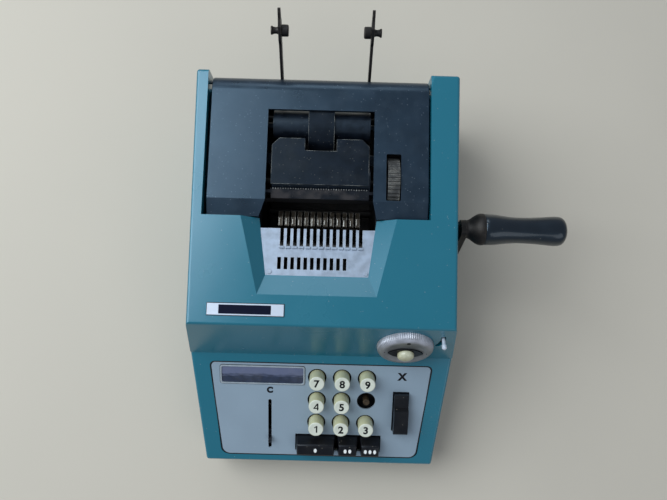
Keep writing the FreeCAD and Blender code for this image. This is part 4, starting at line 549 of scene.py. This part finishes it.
class Maker:
    """Mesh work that every sub-assembly shares."""

    ON_AXIS = 1e-6
    CORNER_LEAN = 0.55
    CAPITAL_SHARE = 0.69
    CURVE_STEPS = 6
    SOFT_STEPS = 3
    SOFT_ANGLE = math.radians(35)
    SHARP_ANGLE = math.radians(38)

    @staticmethod
    def arc(centre: Point, radii: Point, start: float, stop: float, steps: int) -> list[Point]:
        """Points along an arc of a circle or an oval.

        Args:
            centre: The middle.
            radii: Half the width and half the height.
            start: Where the arc starts, in degrees.
            stop: Where it ends.
            steps: Steps from one end to the other.

        Returns:
            (x, y) points with both ends.
        """
        turns = [math.radians(start + (stop - start) * i / steps) for i in range(steps + 1)]
        return [(centre[0] + radii[0] * math.cos(a), centre[1] + radii[1] * math.sin(a)) for a in turns]

    @staticmethod
    def oval(centre: Point, radii: Point, corners: int) -> list[Point]:
        """The corners of a closed oval, counter-clockwise."""
        return Maker.arc(centre, radii, 0.0, 360.0, corners)[:-1]

    @staticmethod
    def rectangle(left: float, right: float, front: float, rear: float) -> list[Point]:
        """The corners of a rectangle, counter-clockwise."""
        return [(left, front), (right, front), (right, rear), (left, rear)]

    @staticmethod
    def loft(sections: list[tuple[list[Point], float]], closed: bool = False) -> Mesh:
        """Join level outlines by bands of faces.

        Args:
            sections: (outline, height) pairs. An outline has as many points as the others, or one.
            closed: Whether the last outline joins the first one. If not, both ends get caps.

        Returns:
            The closed mesh.
        """
        bm = bmesh.new()
        rings = [[bm.verts.new((x, y, height)) for x, y in outline] for outline, height in sections]
        for lower, upper in zip(rings, rings[1:] + rings[:1] if closed else rings[1:]):
            count = max(len(lower), len(upper))
            for i in range(count):
                j = (i + 1) % count
                corners = dict.fromkeys((lower[i % len(lower)], lower[j % len(lower)],
                                         upper[j % len(upper)], upper[i % len(upper)]))
                if len(corners) > 2:
                    bm.faces.new(list(corners))
        for ring in () if closed else (rings[0][::-1], rings[-1]):
            if len(ring) > 2:
                bm.faces.new(ring)
        return bm

    @staticmethod
    def lathe(profile: list[Point], segments: int = 64) -> Mesh:
        """Turn (radius, height) points, which go from the lower end to the upper one, round the Z axis."""
        return Maker.loft([(Maker.oval((0.0, 0.0), (r, r), segments if r > Maker.ON_AXIS else 1), height)
                           for r, height in profile])

    @staticmethod
    def slab(outline: list[Point], low: float, high: float) -> Mesh:
        """A flat shape with straight sides, on corners that go counter-clockwise."""
        return Maker.slabs([(outline, low, high)])

    @staticmethod
    def slabs(shapes: list[tuple[list[Point], float, float]]) -> Mesh:
        """Flat shapes with straight sides in one mesh.

        Args:
            shapes: Each shape's corners, counter-clockwise, its underside and its top.

        Returns:
            The mesh.
        """
        bm = bmesh.new()
        for outline, low, high in shapes:
            under = [bm.verts.new((x, y, low)) for x, y in outline]
            over = [bm.verts.new((x, y, high)) for x, y in outline]
            bm.faces.new(under[::-1])
            bm.faces.new(over)
            for i in range(len(outline)):
                j = (i + 1) % len(outline)
                bm.faces.new((under[i], under[j], over[j], over[i]))
        return bm

    @staticmethod
    def rounded(foot: Spot, head: Spot, grow: float = 0.0, steps: int = 5) -> list[Point]:
        """A rectangle, or a shape whose sides lean in towards its foot, with round corners.

        Args:
            foot: Half the width, the height and the corners' radius at the foot.
            head: The same at the head.
            grow: How much larger the outline is on every side.
            steps: Steps round each corner.

        Returns:
            (x, y) points, counter-clockwise.
        """
        slant = math.atan2(head[0] - foot[0], head[1] - foot[1])
        turn = math.degrees(slant)
        points = []
        for side, end, start, stop in ((1, -1, -90.0, -turn), (1, 1, -turn, 90.0),
                                       (-1, 1, 90.0, 180.0 + turn), (-1, -1, 180.0 + turn, 270.0)):
            half, height, radius = head if end > 0 else foot
            inward = radius * (1.0 - end * math.tan(slant) * Maker.CORNER_LEAN)
            centre = (side * (half - inward), height - end * radius)
            points += Maker.arc(centre, (radius + grow, radius + grow), start, stop, steps)
        return points

    @staticmethod
    def letters(text: str, height: float, thick: float, weight: float = 0.0) -> Mesh:
        """Flat letters round the origin.

        Args:
            text: What they say.
            height: A capital's height.
            thick: How thick they are.
            weight: How much bolder than the plain letter each stroke is on either side.

        Returns:
            The mesh.
        """
        curve = bpy.data.curves.new("letters", "FONT")
        curve.body = text
        curve.size = height / Maker.CAPITAL_SHARE
        curve.align_x = "CENTER"
        curve.align_y = "CENTER"
        curve.extrude = thick / 2
        curve.offset = weight
        curve.resolution_u = Maker.CURVE_STEPS
        holder = bpy.data.objects.new("letters", curve)
        bpy.context.scene.collection.objects.link(holder)
        bpy.context.view_layer.update()
        mesh = bpy.data.meshes.new_from_object(holder)
        bm = bmesh.new()
        bm.from_mesh(mesh)
        bpy.data.objects.remove(holder)
        bpy.data.curves.remove(curve)
        bpy.data.meshes.remove(mesh)
        xs = [v.co.x for v in bm.verts]
        ys = [v.co.y for v in bm.verts]
        middle = Vector(((min(xs) + max(xs)) / 2, (min(ys) + max(ys)) / 2, 0))
        bmesh.ops.translate(bm, verts=bm.verts, vec=-middle)
        return bm

    @staticmethod
    def piece(name: str, bm: Mesh, place: Matrix, finish: Finish, body: str,
              stands_for: tuple[str, ...] = (), round_edge: float = 0.0) -> bpy.types.Object:
        """Make a piece from a mesh and settle where it lies, what it looks like and what it moves with.

        Args:
            name: The piece's name.
            bm: Its mesh, in millimetres. It is used up.
            place: The matrix from its own axes to the frame.
            finish: Its finish.
            body: The body that it rides on.
            stands_for: The nodes that it replaces.
            round_edge: Width of the soft edge, in millimetres.

        Returns:
            The piece.
        """
        bmesh.ops.recalc_face_normals(bm, faces=bm.faces)
        bm.transform(place)
        mesh = bpy.data.meshes.new(name)
        bm.to_mesh(mesh)
        bm.free()
        made = bpy.data.objects.new(name, mesh)
        bpy.context.scene.collection.objects.link(made)
        if round_edge:
            soft = made.modifiers.new("soft_edge", "BEVEL")
            soft.width = round_edge * MM
            soft.segments = Maker.SOFT_STEPS
            soft.limit_method = "ANGLE"
            soft.angle_limit = Maker.SOFT_ANGLE
        mesh.set_sharp_from_angle(angle=Maker.SHARP_ANGLE)
        for face in mesh.polygons:
            face.use_smooth = True
        finish.dress(made)
        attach(made, body)
        if stands_for:
            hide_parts(*stands_for)
        LOG.info("piece %s rides on %s", name, body)
        return made

    @staticmethod
    def gap_shadow(name: str, outlines: tuple[list[Point], list[Point]], low: float, high: float,
             place: Matrix) -> None:
        """Lay a painted shadow: a dark line between two outlines, where a gap between parts is in shade.

        Args:
            name: The line's name.
            outlines: The two outlines, with as many points each.
            low: Its underside.
            high: Its top.
            place: The matrix from the outlines' axes to the frame.
        """
        first, second = outlines
        band = Maker.loft([(first, low), (first, high), (second, high), (second, low)], closed=True)
        Maker.piece(name, band, place, Finishes.RIBBON, Body.FRAME.value)

    @staticmethod
    def dress_nodes(finish: Finish, *names: str) -> None:
        """Give nodes of the frame a finish.

        Args:
            finish: The finish.
            names: The nodes.
        """
        for name in names:
            finish.dress(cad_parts[name])
            LOG.info("node %s wears %s", name, finish.name)


@dataclass
class DigitKeys:
    """The round keys with their digits, and the bare stem."""

    pitch: float = 19.0
    column_x: float = 16.2
    row_down: float = 37.2
    rows: tuple[str, ...] = ("789", "456", "123")
    missing: str = "6"
    radius: float = 5.85
    top: float = 10.9
    skirt: float = 1.5
    bore: float = 2.5
    bevel: float = 0.35
    taper: float = 0.12
    shoulder: float = 0.8
    rim: float = 0.55
    rim_inset: float = 0.15
    rim_drop: float = 0.12
    dish: float = 0.45
    dish_radius: float = 30.0
    stem: Box = (-2.0, 2.0, -0.6, 0.6)
    stem_low: float = -17.0
    stem_high: float = -1.4
    stem_edge: float = 0.15
    digit_height: float = 5.6
    digit_stroke: float = 1.0
    digit_weight: float = 0.26
    digit_thin: float = 0.05
    digit_step: float = 0.01
    digit_lift: float = 0.03
    longest_edge: float = 1.2

    def build(self) -> None:
        """Make every key and legend."""
        for row, digits in enumerate(self.rows):
            for column, digit in enumerate(digits):
                x = self.column_x + (column - 1) * self.pitch
                down = self.row_down + (row - 1) * self.pitch
                if digit != self.missing:
                    self.make_key(digit, x, down)
        Maker.dress_nodes(Finishes.STUB, "key_stem_" + self.missing)

    def digit_mesh(self, digit: str) -> Mesh:
        """Make a digit's flat mesh. The one has a flag and no foot, and the four is made of three strokes.

        Args:
            digit: The digit.

        Returns:
            The mesh round the origin.
        """
        half, stroke, thin = self.digit_height / 2, self.digit_stroke, self.digit_thin
        if digit == "1":
            left = 0.1
            flag = [(0.35, half), (-1.25, half - 1.2), (-1.25, half - 2.1), (left, half - 1.15)]
            stem = [(left, -half), (left + stroke, -half), (left + stroke, half)]
            return Maker.slab(stem + flag, -thin, thin)
        if digit == "4":
            left, right, stem, bar = -2.1, 1.75, 0.55, -half + 1.15
            slant = [(left, bar + 0.4), (left + 0.95, bar + 0.4), (stem + stroke, half), (0.45, half)]
            strokes = (Maker.rectangle(stem, stem + stroke, -half, half),
                       Maker.rectangle(left, right, bar, bar + 0.75), slant)
            return Maker.slabs([(outline, -thin, thin - self.digit_step * k)
                                for k, outline in enumerate(strokes)])
        return Maker.letters(digit, self.digit_height, 2 * thin, self.digit_weight)

    def surface(self, distance: float) -> float:
        """How high the hollow top is at a distance from its middle."""
        return self.top - self.dish + self.dish_radius - math.sqrt(self.dish_radius ** 2 - distance ** 2)

    def cap_profile(self) -> list[Point]:
        """The cap's outline from its skirt over the round rim to the middle of its hollow top.

        Returns:
            (radius, height) points.
        """
        low = -self.skirt + self.bevel
        straight = self.top - self.shoulder + self.skirt
        points = [(self.bore, -self.skirt), (self.radius - self.bevel, -self.skirt), (self.radius, low)]
        points += [(self.radius - self.taper * i / 4, low + straight * i / 4) for i in (1, 2, 3)]
        edge = self.radius - self.rim_inset - self.rim
        points += Maker.arc((edge, self.top - self.rim - self.rim_drop), (self.rim, self.rim), 0.0, 90.0, 4)
        for distance in [edge * (1 - i / 5) for i in range(1, 6)]:
            points.append((distance, self.surface(distance)))
        return points

    def make_key(self, digit: str, x: float, down: float) -> None:
        """Make one cap with its stem and its digit.

        Args:
            digit: The digit.
            x: Its place across the board.
            down: Its place down the slope.
        """
        node = "key_" + digit
        body = "press_" + node
        place = BENCH.board() @ Matrix.Translation((x, -down, 0))
        cap = Maker.piece("cap_" + digit, Maker.lathe(self.cap_profile()), place, Finishes.CREAM, body,
                          (node,))
        stem = Maker.slab(Maker.rectangle(*self.stem), self.stem_low, self.stem_high)
        Maker.piece("stem_" + digit, stem, place, Finishes.STEEL, body, (), self.stem_edge)
        mark = self.digit_mesh(digit)
        long_edges = [edge for edge in mark.edges if edge.calc_length() > self.longest_edge]
        bmesh.ops.subdivide_edges(mark, edges=long_edges, cuts=3)
        for vert in mark.verts:
            vert.co.z += self.surface(math.hypot(vert.co.x, vert.co.y)) + self.digit_lift
        Maker.piece("digit_" + digit, mark, place, Finishes.INK, body)


@dataclass
class DotKeys:
    """The three black keys with one, two and three white dots.

    Each level of a cap is its height, and how far its sides, its rear and its front are drawn in.
    """

    row_down: float = 74.1
    depth: float = 12.8
    top: float = 10.5
    levels: tuple[Box, ...] = ((-1.5, 0.0, 0.0, 0.0), (2.5, 0.25, 0.5, 0.2), (9.1, 1.0, 2.2, 0.9),
                               (10.1, 1.35, 2.9, 1.4), (10.45, 2.3, 3.9, 2.4))
    edge: float = 0.7
    left: float = -18.2
    gap: float = 1.5
    widths: dict[str, float] = field(default_factory=lambda: {
        "key_zero": 30.6, "key_double_zero": 16.0, "key_triple_zero": 15.7})
    dot_pitch: float = 3.6
    dot_y: float = -0.7
    dot_size: Point = (1.15, 1.75)
    dot_corners: int = 28
    dot_deep: float = 0.3
    dot_proud: float = 0.02

    def build(self) -> None:
        """Make the keys and their dots."""
        x = self.left
        for count, (node, width) in enumerate(self.widths.items(), start=1):
            self.make_key(node, x + width / 2, width, count)
            x += width + self.gap

    def make_key(self, node: str, x: float, width: float, dots: int) -> None:
        """Make one key.

        Args:
            node: The node that it replaces.
            x: Its middle across the board.
            width: Its width.
            dots: How many dots it carries.
        """
        body = "press_" + node
        place = BENCH.board() @ Matrix.Translation((x, -self.row_down, 0))
        half, deep = width / 2, self.depth / 2
        sections = [(Maker.rectangle(-half + side, half - side, -deep + fore, deep - rear), height)
                    for height, side, rear, fore in self.levels]
        cap = Maker.piece("cap_" + node, Maker.loft(sections), place, Finishes.BLACK, body, (node,),
                          self.edge)
        for i in range(dots):
            centre = ((i - (dots - 1) / 2) * self.dot_pitch, self.dot_y)
            dot = Maker.slab(Maker.oval(centre, self.dot_size, self.dot_corners), self.top - self.dot_deep,
                             self.top + self.dot_proud)
            Maker.piece(f"dot_{node}_{i + 1}", dot, place, Finishes.WHITE, body)


@dataclass
class Board:
    """The keyboard panel with its legends, window, clear lever and multiply bar.

    Its head and foot are each half its width, their place up the slope and the radius of their corners.
    """

    head: Spot = (83.4, -7.5, 3.0)
    foot: Spot = (76.458, -85.5, 6.0)
    corner_steps: int = 8
    seam_inner: float = 0.02
    seam_outer: float = 0.9
    seam_low: float = -0.3
    seam_high: float = 0.05
    window_x: float = -44.4
    window_down: float = 17.2
    window_size: Point = (64.2, 15.2)
    window_corner: float = 1.6
    rim_width: float = 1.0
    rim_corner: float = 1.0
    rim_foot: float = 0.02
    rim_outer_top: float = 0.62
    rim_inner_top: float = 0.75
    rim_edge: float = 0.15
    window_gap_shadow: float = 0.45
    window_seam_corner: float = 2.0
    window_seam_low: float = -0.2
    pane_gap: float = 0.05
    pane_corner: float = 1.4
    pane_crown: float = 0.8
    pane_flatness: int = 12
    pane_low: float = -0.6
    pane_grid: tuple[int, int] = (40, 14)
    clear_x: float = -38.8
    clear_down: float = 29.6
    clear_height: float = 4.4
    multiply_x: float = 62.0
    multiply_down: float = 16.0
    multiply_height: float = 5.6
    letter_lift: float = 0.04
    letter_thick: float = 0.08
    letter_weight: float = 0.42

    def build(self) -> None:
        """Dress the nodes, and lay the painted shadow in the panel's gap, the window and the legends."""
        Maker.dress_nodes(Finishes.PANEL, "keyboard_panel")
        inner, outer = (Maker.rounded(self.foot, self.head, grow, self.corner_steps)
                        for grow in (self.seam_inner, self.seam_outer))
        Maker.gap_shadow("panel_gap_shadow", (inner, outer), self.seam_low, self.seam_high, BENCH.board())
        self.window()
        Maker.dress_nodes(Finishes.WHITE, "column_pointer")
        Maker.dress_nodes(Finishes.BLACK, "clear_lever", "multiply_bar")
        # Painted shade: the key guide plate is near black so that the stem holes look dark, as they are in
        # shade.
        Maker.dress_nodes(Finishes.SOOT, "key_guide_plate")
        Maker.dress_nodes(Finishes.STEEL, "key_springs", "pin_carriage", "carriage_rails")
        self.letter("C", self.clear_x, self.clear_down, self.clear_height)
        self.letter("X", self.multiply_x, self.multiply_down, self.multiply_height)

    def window(self) -> None:
        """The column window: a thin raised rim with a painted shadow line round it, and the pane."""
        place = BENCH.board() @ Matrix.Translation((self.window_x, -self.window_down, 0))
        outlines = []
        for grow, radius in ((0.0, self.window_corner), (-self.rim_width, self.rim_corner),
                             (self.window_gap_shadow, self.window_seam_corner)):
            half_w, half_h = (size / 2 + grow for size in self.window_size)
            outlines.append(Maker.rounded((half_w, -half_h, radius), (half_w, half_h, radius)))
        outer, inner, line = outlines
        rim = Maker.loft([(outer, self.rim_foot), (outer, self.rim_outer_top), (inner, self.rim_inner_top),
                          (inner, self.rim_foot)], closed=True)
        Maker.piece("window_rim", rim, place, Finishes.BEZEL, Body.FRAME.value, ("window_bezel",),
                    self.rim_edge)
        Maker.gap_shadow("window_gap_shadow", (line, outer), self.window_seam_low, self.seam_high, place)
        Maker.piece("window_glass", self.pane_mesh(), place, Finishes.LENS, Body.FRAME.value,
                    ("window_lens",))

    def pane_mesh(self) -> Mesh:
        """Make the pane: a crowned sheet with round corners, drawn down to a flat back.

        Returns:
            The closed mesh.
        """
        half_w, half_h = (size / 2 - self.rim_width - self.pane_gap for size in self.window_size)
        columns, rows = self.pane_grid
        pane = bmesh.new()
        grid = []
        for r in range(rows + 1):
            v = -1 + 2 * r / rows
            past = max(0.0, abs(v) * half_h - half_h + self.pane_corner)
            reach = half_w - self.pane_corner + math.sqrt(self.pane_corner ** 2 - past ** 2)
            line = []
            for c in range(columns + 1):
                u = -1 + 2 * c / columns
                lift = self.pane_crown * (1 - v * v) * (1 - abs(u) ** self.pane_flatness)
                line.append(pane.verts.new((u * reach, v * half_h, lift)))
            grid.append(line)
        for r in range(rows):
            for c in range(columns):
                pane.faces.new((grid[r][c], grid[r][c + 1], grid[r + 1][c + 1], grid[r + 1][c]))
        back = bmesh.ops.extrude_face_region(pane, geom=pane.faces[:])
        for item in back["geom"]:
            if isinstance(item, bmesh.types.BMVert):
                item.co.z = self.pane_low
        return pane

    def letter(self, text: str, x: float, down: float, height: float) -> None:
        """Lay one printed letter on the panel.

        Args:
            text: The letter.
            x: Its middle across the board.
            down: Its middle down the slope.
            height: Its height.
        """
        place = BENCH.board() @ Matrix.Translation((x, -down, self.letter_lift))
        mark = Maker.letters(text, height, self.letter_thick, self.letter_weight)
        Maker.piece("letter_" + text, mark, place, Finishes.INK, Body.FRAME.value)


@dataclass
class Selector:
    """The round-edged dial with its knurled rim and marks, its pointed disc and knob, and the small lever.

    Each mark is its name, its angle in degrees and its radius.
    """

    x: float = 60.6
    up: float = 21.2
    radius: float = 20.5
    rim: float = 1.3
    shoulder: float = 15.8
    height: float = 6.3
    lip_width: float = 0.9
    lip_drop: float = 0.1
    dish_radius: float = 13.3
    dish_depth: float = 0.8
    hole: float = 3.1
    teeth: int = 84
    tooth_steps: int = 4
    tooth_depth: float = 0.016
    tooth_start: float = 1.5
    tooth_ease: float = 1.5
    marks: tuple[tuple[str, float, float], ...] = (("mark_up", 88, 1.5), ("mark_left", 178, 0.5),
                                                   ("mark_right", -2, 0.4))
    mark_reach: float = 15.2
    mark_corners: int = 16
    mark_deep: float = 0.5
    mark_proud: float = 0.02
    knob_side: tuple[Point, ...] = ((4.6, 6.9), (5.8, 6.9), (6.0, 7.3), (5.95, 8.2), (5.8, 8.9))
    knob_dome: float = 2.7
    knob_segments: int = 72

    def build(self) -> None:
        """Make the dial, its marks and the knob, and dress the rest."""
        place = BENCH.face() @ Matrix.Translation((self.x, self.up, 0))
        dial = Maker.piece("dial_ring", self.dial_mesh(), place, Finishes.DIAL, Body.FRAME.value,
                           ("selector_dial",))
        for name, angle, size in self.marks:
            turn = math.radians(angle)
            centre = (self.mark_reach * math.cos(turn), self.mark_reach * math.sin(turn))
            spot = Maker.slab(Maker.oval(centre, (size, size), self.mark_corners),
                              self.height - self.mark_deep, self.height + self.mark_proud)
            Maker.piece(name, spot, place, Finishes.INK, Body.FRAME.value)
        Maker.dress_nodes(Finishes.BLACK, "selector_disc")
        self.knob(place)
        Maker.dress_nodes(Finishes.CHROME, "side_lever")

    def dial_mesh(self) -> Mesh:
        """Make the dial: a round shoulder over a knurled rim, and a shallow dish inside it.

        Returns:
            The closed mesh.
        """
        floor = self.height - self.dish_depth
        profile = [(self.radius, 0.0), (self.radius, self.rim)]
        profile += Maker.arc((self.shoulder, self.rim),
                             (self.radius - self.shoulder, self.height - self.rim), 0.0, 90.0, 10)[1:]
        profile += [(self.shoulder - self.lip_width, self.height - self.lip_drop),
                    (self.dish_radius, floor), (self.hole, floor)]
        bm = Maker.lathe(profile, self.teeth * self.tooth_steps)
        for vert in bm.verts:
            reach = math.hypot(vert.co.x, vert.co.y)
            deep = max(0.0, min(1.0, (reach - self.shoulder - self.tooth_start) / self.tooth_ease))
            turn = math.atan2(vert.co.y, vert.co.x) * self.teeth
            vert.co.xy *= 1 - self.tooth_depth * deep * (0.5 - 0.5 * math.cos(turn))
        return bm

    def knob(self, place: Matrix) -> None:
        """The domed cream knob on the pointed disc.

        Args:
            place: The matrix from the dial's axes to the frame.
        """
        width, foot = self.knob_side[-1]
        profile = [*self.knob_side, *Maker.arc((0.0, foot), (width, self.knob_dome), 0.0, 90.0, 8)[1:]]
        Maker.piece("knob", Maker.lathe(profile, self.knob_segments), place, Finishes.IVORY,
                    Body.SELECTOR.value, ("selector_knob",))


@dataclass
class Crank:
    """The crank with its hand grip, and what it drives. The grip's profile is (radius, distance out)."""

    x: float = 100.56
    plate: float = 4.4
    neck_length: float = 12.5
    fit: float = 0.3
    grip_y: float = 41.3
    grip_z: float = 88.0
    grip_segments: int = 96
    grip_profile: tuple[Point, ...] = (
        (11.2, 0.0), (11.5, 0.6), (11.5, 3.0), (11.45, 6.0), (11.25, 9.0), (10.65, 13.0), (10.0, 18.0),
        (9.65, 24.0), (9.6, 30.0), (9.8, 36.0), (10.2, 42.0), (10.75, 48.0), (11.0, 52.0), (10.95, 55.0),
        (10.5, 57.0), (9.4, 58.6), (7.6, 59.8), (5.0, 60.6), (1.8, 61.0))

    def build(self) -> None:
        """Make the grip and dress the metal."""
        Maker.dress_nodes(Finishes.DARK_STEEL, "crank_arm")
        Maker.dress_nodes(Finishes.STEEL, "crank_shaft", "grip_spindle", "shaft_bushing", "drive_gear",
                          "register_shaft", "return_spring")
        Maker.dress_nodes(Finishes.NYLON, "register_wheels")
        start = self.x + self.plate + self.neck_length + self.fit
        outward = Matrix.Rotation(math.pi / 2, 4, "Y")
        place = BENCH.table() @ Matrix.Translation((start, self.grip_y, self.grip_z)) @ outward
        grip = Maker.piece("grip", Maker.lathe(list(self.grip_profile), self.grip_segments), place,
                           Finishes.GRIP, Body.GRIP.value, ("handle_grip",))


@dataclass
class PrintUnit:
    """What shows in the print window and under the cover's opening."""

    columns: int = 13
    pitch: float = 4.7
    first_x: float = -32.4
    head_top: float = 94.5
    head_from: float = 39.6
    head_to: float = 45.3
    glint_strip_inset: float = 0.95
    glint_strip_width: float = 0.32
    glint_strip_deep: float = 0.2
    glint_strip_proud: float = 0.12
    glint_strip_round: float = 0.06
    tear_left: float = -39.3
    tear_right: float = 31.3
    tear_teeth: int = 39
    tear_rise: float = 4.8
    tip_foot: float = 0.22
    tip_length: float = 0.55
    tip_half: float = 0.14
    tip_deep: float = 0.1
    tip_proud: float = 0.05

    def build(self) -> None:
        """Dress the nodes, and lay the painted glints on the type heads and the pale tips on the tear bar."""
        Maker.dress_nodes(Finishes.PLATE, "type_plate")
        Maker.dress_nodes(Finishes.TYPE, "type_bars")
        self.type_glints()
        Maker.dress_nodes(Finishes.ROLL, "platen", "paper_roller")
        Maker.dress_nodes(Finishes.DARK_STEEL, "platen_shaft")
        Maker.dress_nodes(Finishes.HIGHLIT_WHEEL, "thumbwheel")
        self.tear_tips()
        Maker.dress_nodes(Finishes.TABLE, "paper_table", "paper_tongue")
        Maker.dress_nodes(Finishes.RUBBED, "tear_bar")
        Maker.dress_nodes(Finishes.SOOT, "ribbon_deck", "ribbon_spool_left", "ribbon_spool_right")
        Maker.dress_nodes(Finishes.RIBBON, "ribbon")

    @staticmethod
    def vary(index: int, stride: int, count: int, step: float) -> float:
        """How much a measure of one piece differs from the next one's: one of a few steps, in mixed order."""
        return (index * stride % count) * step

    def type_glints(self) -> None:
        """A painted glint on top of each type head: a near-white strip, each a little different from the
        next.
        """
        for i in range(self.columns):
            left = self.first_x + i * self.pitch - self.glint_strip_inset + self.vary(i, 1, 3, 0.12)
            wide = self.glint_strip_width + self.vary(i, 3, 4, 0.07)
            start = self.head_from + self.vary(i, 7, 5, 0.25)
            stop = self.head_to - self.vary(i, 5, 4, 0.5)
            outline = [(left, start), (left + wide, start), (left + wide * 0.8, stop), (left + 0.1, stop)]
            edge = Maker.slab(outline, self.head_top - self.glint_strip_deep, self.head_top + self.glint_strip_proud)
            Maker.piece(f"type_glint_{i + 1}", edge, BENCH.table(), Finishes.BRIGHT, Body.TYPE.value, (),
                        self.glint_strip_round)

    def tear_tips(self) -> None:
        """The pale tips of the tear bar's teeth, each a little different in size."""
        low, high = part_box("tear_bar")
        shift = BENCH.shift()
        slope = math.atan2(self.tear_rise, (high.y - low.y) / MM)
        place = BENCH.tilted((high.y - shift.y) / MM, high.z / MM, slope)
        pitch = (self.tear_right - self.tear_left) / self.tear_teeth
        tips = []
        for i in range(1, self.tear_teeth):
            x = self.tear_left + i * pitch
            half = self.tip_foot + self.vary(i, 7, 3, 0.07)
            deep = self.tip_length + self.vary(i, 5, 4, 0.12)
            outline = [(x - half, -deep), (x + half, -deep),
                       (x + self.tip_half, 0.0), (x - self.tip_half, 0.0)]
            tips.append((outline, -self.tip_deep, self.tip_proud))
        Maker.piece("tear_tips", Maker.slabs(tips), place, Finishes.TYPE_EDGE, Body.FRAME.value)


@dataclass
class Case:
    """The case, its cover, its base and the frame inside.

    The badge plate and its field are given as left, right, front and rear on the hood.
    """

    badge: Box = (-71.2, -35.1, 7.4, 13.6)
    badge_low: float = 0.58
    badge_high: float = 0.72
    plate: Box = (-79.3, -26.2, 6.4, 14.6)
    seam_width: float = 0.45
    seam_low: float = -0.2
    seam_high: float = 0.06

    def build(self) -> None:
        """Dress the nodes and lay the badge's field."""
        Maker.dress_nodes(Finishes.TEAL, "body_shell")
        Maker.dress_nodes(Finishes.COVER, "platen_cover")
        Maker.dress_nodes(Finishes.CHROME, "badge_plate")
        self.badge_field()
        Maker.dress_nodes(Finishes.RUBBER, "rubber_feet")
        Maker.dress_nodes(Finishes.DARK_STEEL, "base_pan", "paper_arms", "roll_spindle_left",
                          "roll_spindle_right", "frame_rods")
        Maker.dress_nodes(Finishes.SOOT, "side_frames")
        Maker.dress_nodes(Finishes.PLATE, "screws")
        Maker.dress_nodes(Finishes.STEEL, "cover_hinge_pins")

    def badge_field(self) -> None:
        """The bare dark field in the bright plate on the hood, and a painted shadow line round the plate."""
        dark = Maker.slab(Maker.rectangle(*self.badge), self.badge_low, self.badge_high)
        Maker.piece("badge_field", dark, BENCH.hood(), Finishes.ENAMEL, Body.FRAME.value)
        left, right, front, rear = self.plate
        line = self.seam_width
        outer = Maker.rectangle(left - line, right + line, front - line, rear + line)
        Maker.gap_shadow("badge_gap_shadow", (Maker.rectangle(*self.plate), outer), self.seam_low, self.seam_high,
                   BENCH.hood())


@dataclass(frozen=True)
class Lamp:
    """A soft square lamp that looks at the machine. Lengths are in metres and the power is in watts."""

    name: str
    at: Spot
    size: float
    power: float
    colour: Colour = (0.88, 0.95, 1.0)
    target: Spot = (0.0, 0.0, 0.05)

    def hang(self) -> None:
        """Add the lamp to the scene."""
        lamp = bpy.data.lights.new(self.name, "AREA")
        lamp.shape = "SQUARE"
        lamp.size = self.size
        lamp.energy = self.power
        lamp.color = self.colour
        holder = bpy.data.objects.new(self.name, lamp)
        holder.location = self.at
        look = Vector(self.target) - Vector(self.at)
        holder.rotation_euler = look.to_track_quat("-Z", "Y").to_euler()
        bpy.context.scene.collection.objects.link(holder)


@dataclass
class Studio:
    """The pale floor, the soft light and the camera."""

    eye: Spot = (5.5, -29.07, 511.9)
    tilt: float = math.radians(7.0)
    yaw: float = math.radians(0.2)
    roll: float = math.radians(1.53)
    focal: float = 577.8
    frame_width: float = 667.0
    sensor: float = 36.0
    nearest: float = 0.01
    floor_half: float = 3.0
    floor_squares: int = 8
    sky: Colour = (0.80, 0.88, 1.0)
    sky_strength: float = 0.36
    lamps: tuple[Lamp, ...] = (
        Lamp("sky_left", (-0.9, 0.35, 1.25), 1.25, 22.0),
        Lamp("sky_side", (-1.5, 0.25, 0.7), 0.8, 2.4),
        Lamp("sky_rear", (-0.1, 1.3, 0.95), 0.6, 2.2),
        Lamp("sky_front", (0.9, -1.1, 1.2), 0.9, 2.6, (1.0, 0.98, 0.95)))

    def build(self) -> None:
        """Set up floor, lights, camera and view."""
        self.make_floor()
        self.make_world()
        for lamp in self.lamps:
            lamp.hang()
        self.make_camera()
        bpy.context.scene.view_settings.view_transform = "Standard"

    def make_floor(self) -> None:
        """A wide plain floor under the feet."""
        bm = bmesh.new()
        bmesh.ops.create_grid(bm, x_segments=self.floor_squares, y_segments=self.floor_squares,
                              size=self.floor_half)
        mesh = bpy.data.meshes.new("floor")
        bm.to_mesh(mesh)
        bm.free()
        floor = bpy.data.objects.new("floor", mesh)
        bpy.context.scene.collection.objects.link(floor)
        Finishes.FLOOR.dress(floor)

    def make_world(self) -> None:
        """A pale sky all round."""
        world = bpy.data.worlds.new("sky")
        bpy.context.scene.world = world
        world.use_nodes = True
        back = next(n for n in world.node_tree.nodes if n.type == "BACKGROUND")
        back.inputs["Color"].default_value = (*self.sky, 1.0)
        back.inputs["Strength"].default_value = self.sky_strength

    def make_camera(self) -> None:
        """Put the camera where the photograph was taken from."""
        ahead = Vector((0, math.sin(self.tilt), -math.cos(self.tilt)))
        below = Vector((0, -math.cos(self.tilt), -math.sin(self.tilt)))
        right = Vector((1, 0, 0))
        aim = ahead * math.cos(self.yaw) + right * math.sin(self.yaw)
        side = right * math.cos(self.yaw) - ahead * math.sin(self.yaw)
        down = below * math.cos(self.roll) + side * math.sin(self.roll)
        side = side * math.cos(self.roll) - below * math.sin(self.roll)
        turn = Matrix((side, -down, -aim)).transposed().to_4x4()
        lens = bpy.data.cameras.new("camera")
        lens.sensor_width = self.sensor
        lens.lens = self.sensor * self.focal / self.frame_width
        lens.clip_start = self.nearest
        holder = bpy.data.objects.new("camera", lens)
        bpy.context.scene.collection.objects.link(holder)
        holder.matrix_world = Matrix.Translation(BENCH.shift() + Vector(self.eye) * MM) @ turn
        bpy.context.scene.camera = holder


def main() -> None:
    """Build every sub-assembly in order."""
    logging.basicConfig(level=logging.INFO, format="%(name)s: %(message)s")
    for part in (Studio(), Case(), Board(), DigitKeys(), DotKeys(), Selector(), PrintUnit(), Crank()):
        LOG.info("building %s", type(part).__name__)
        part.build()


if __name__ == "__main__":
    main()
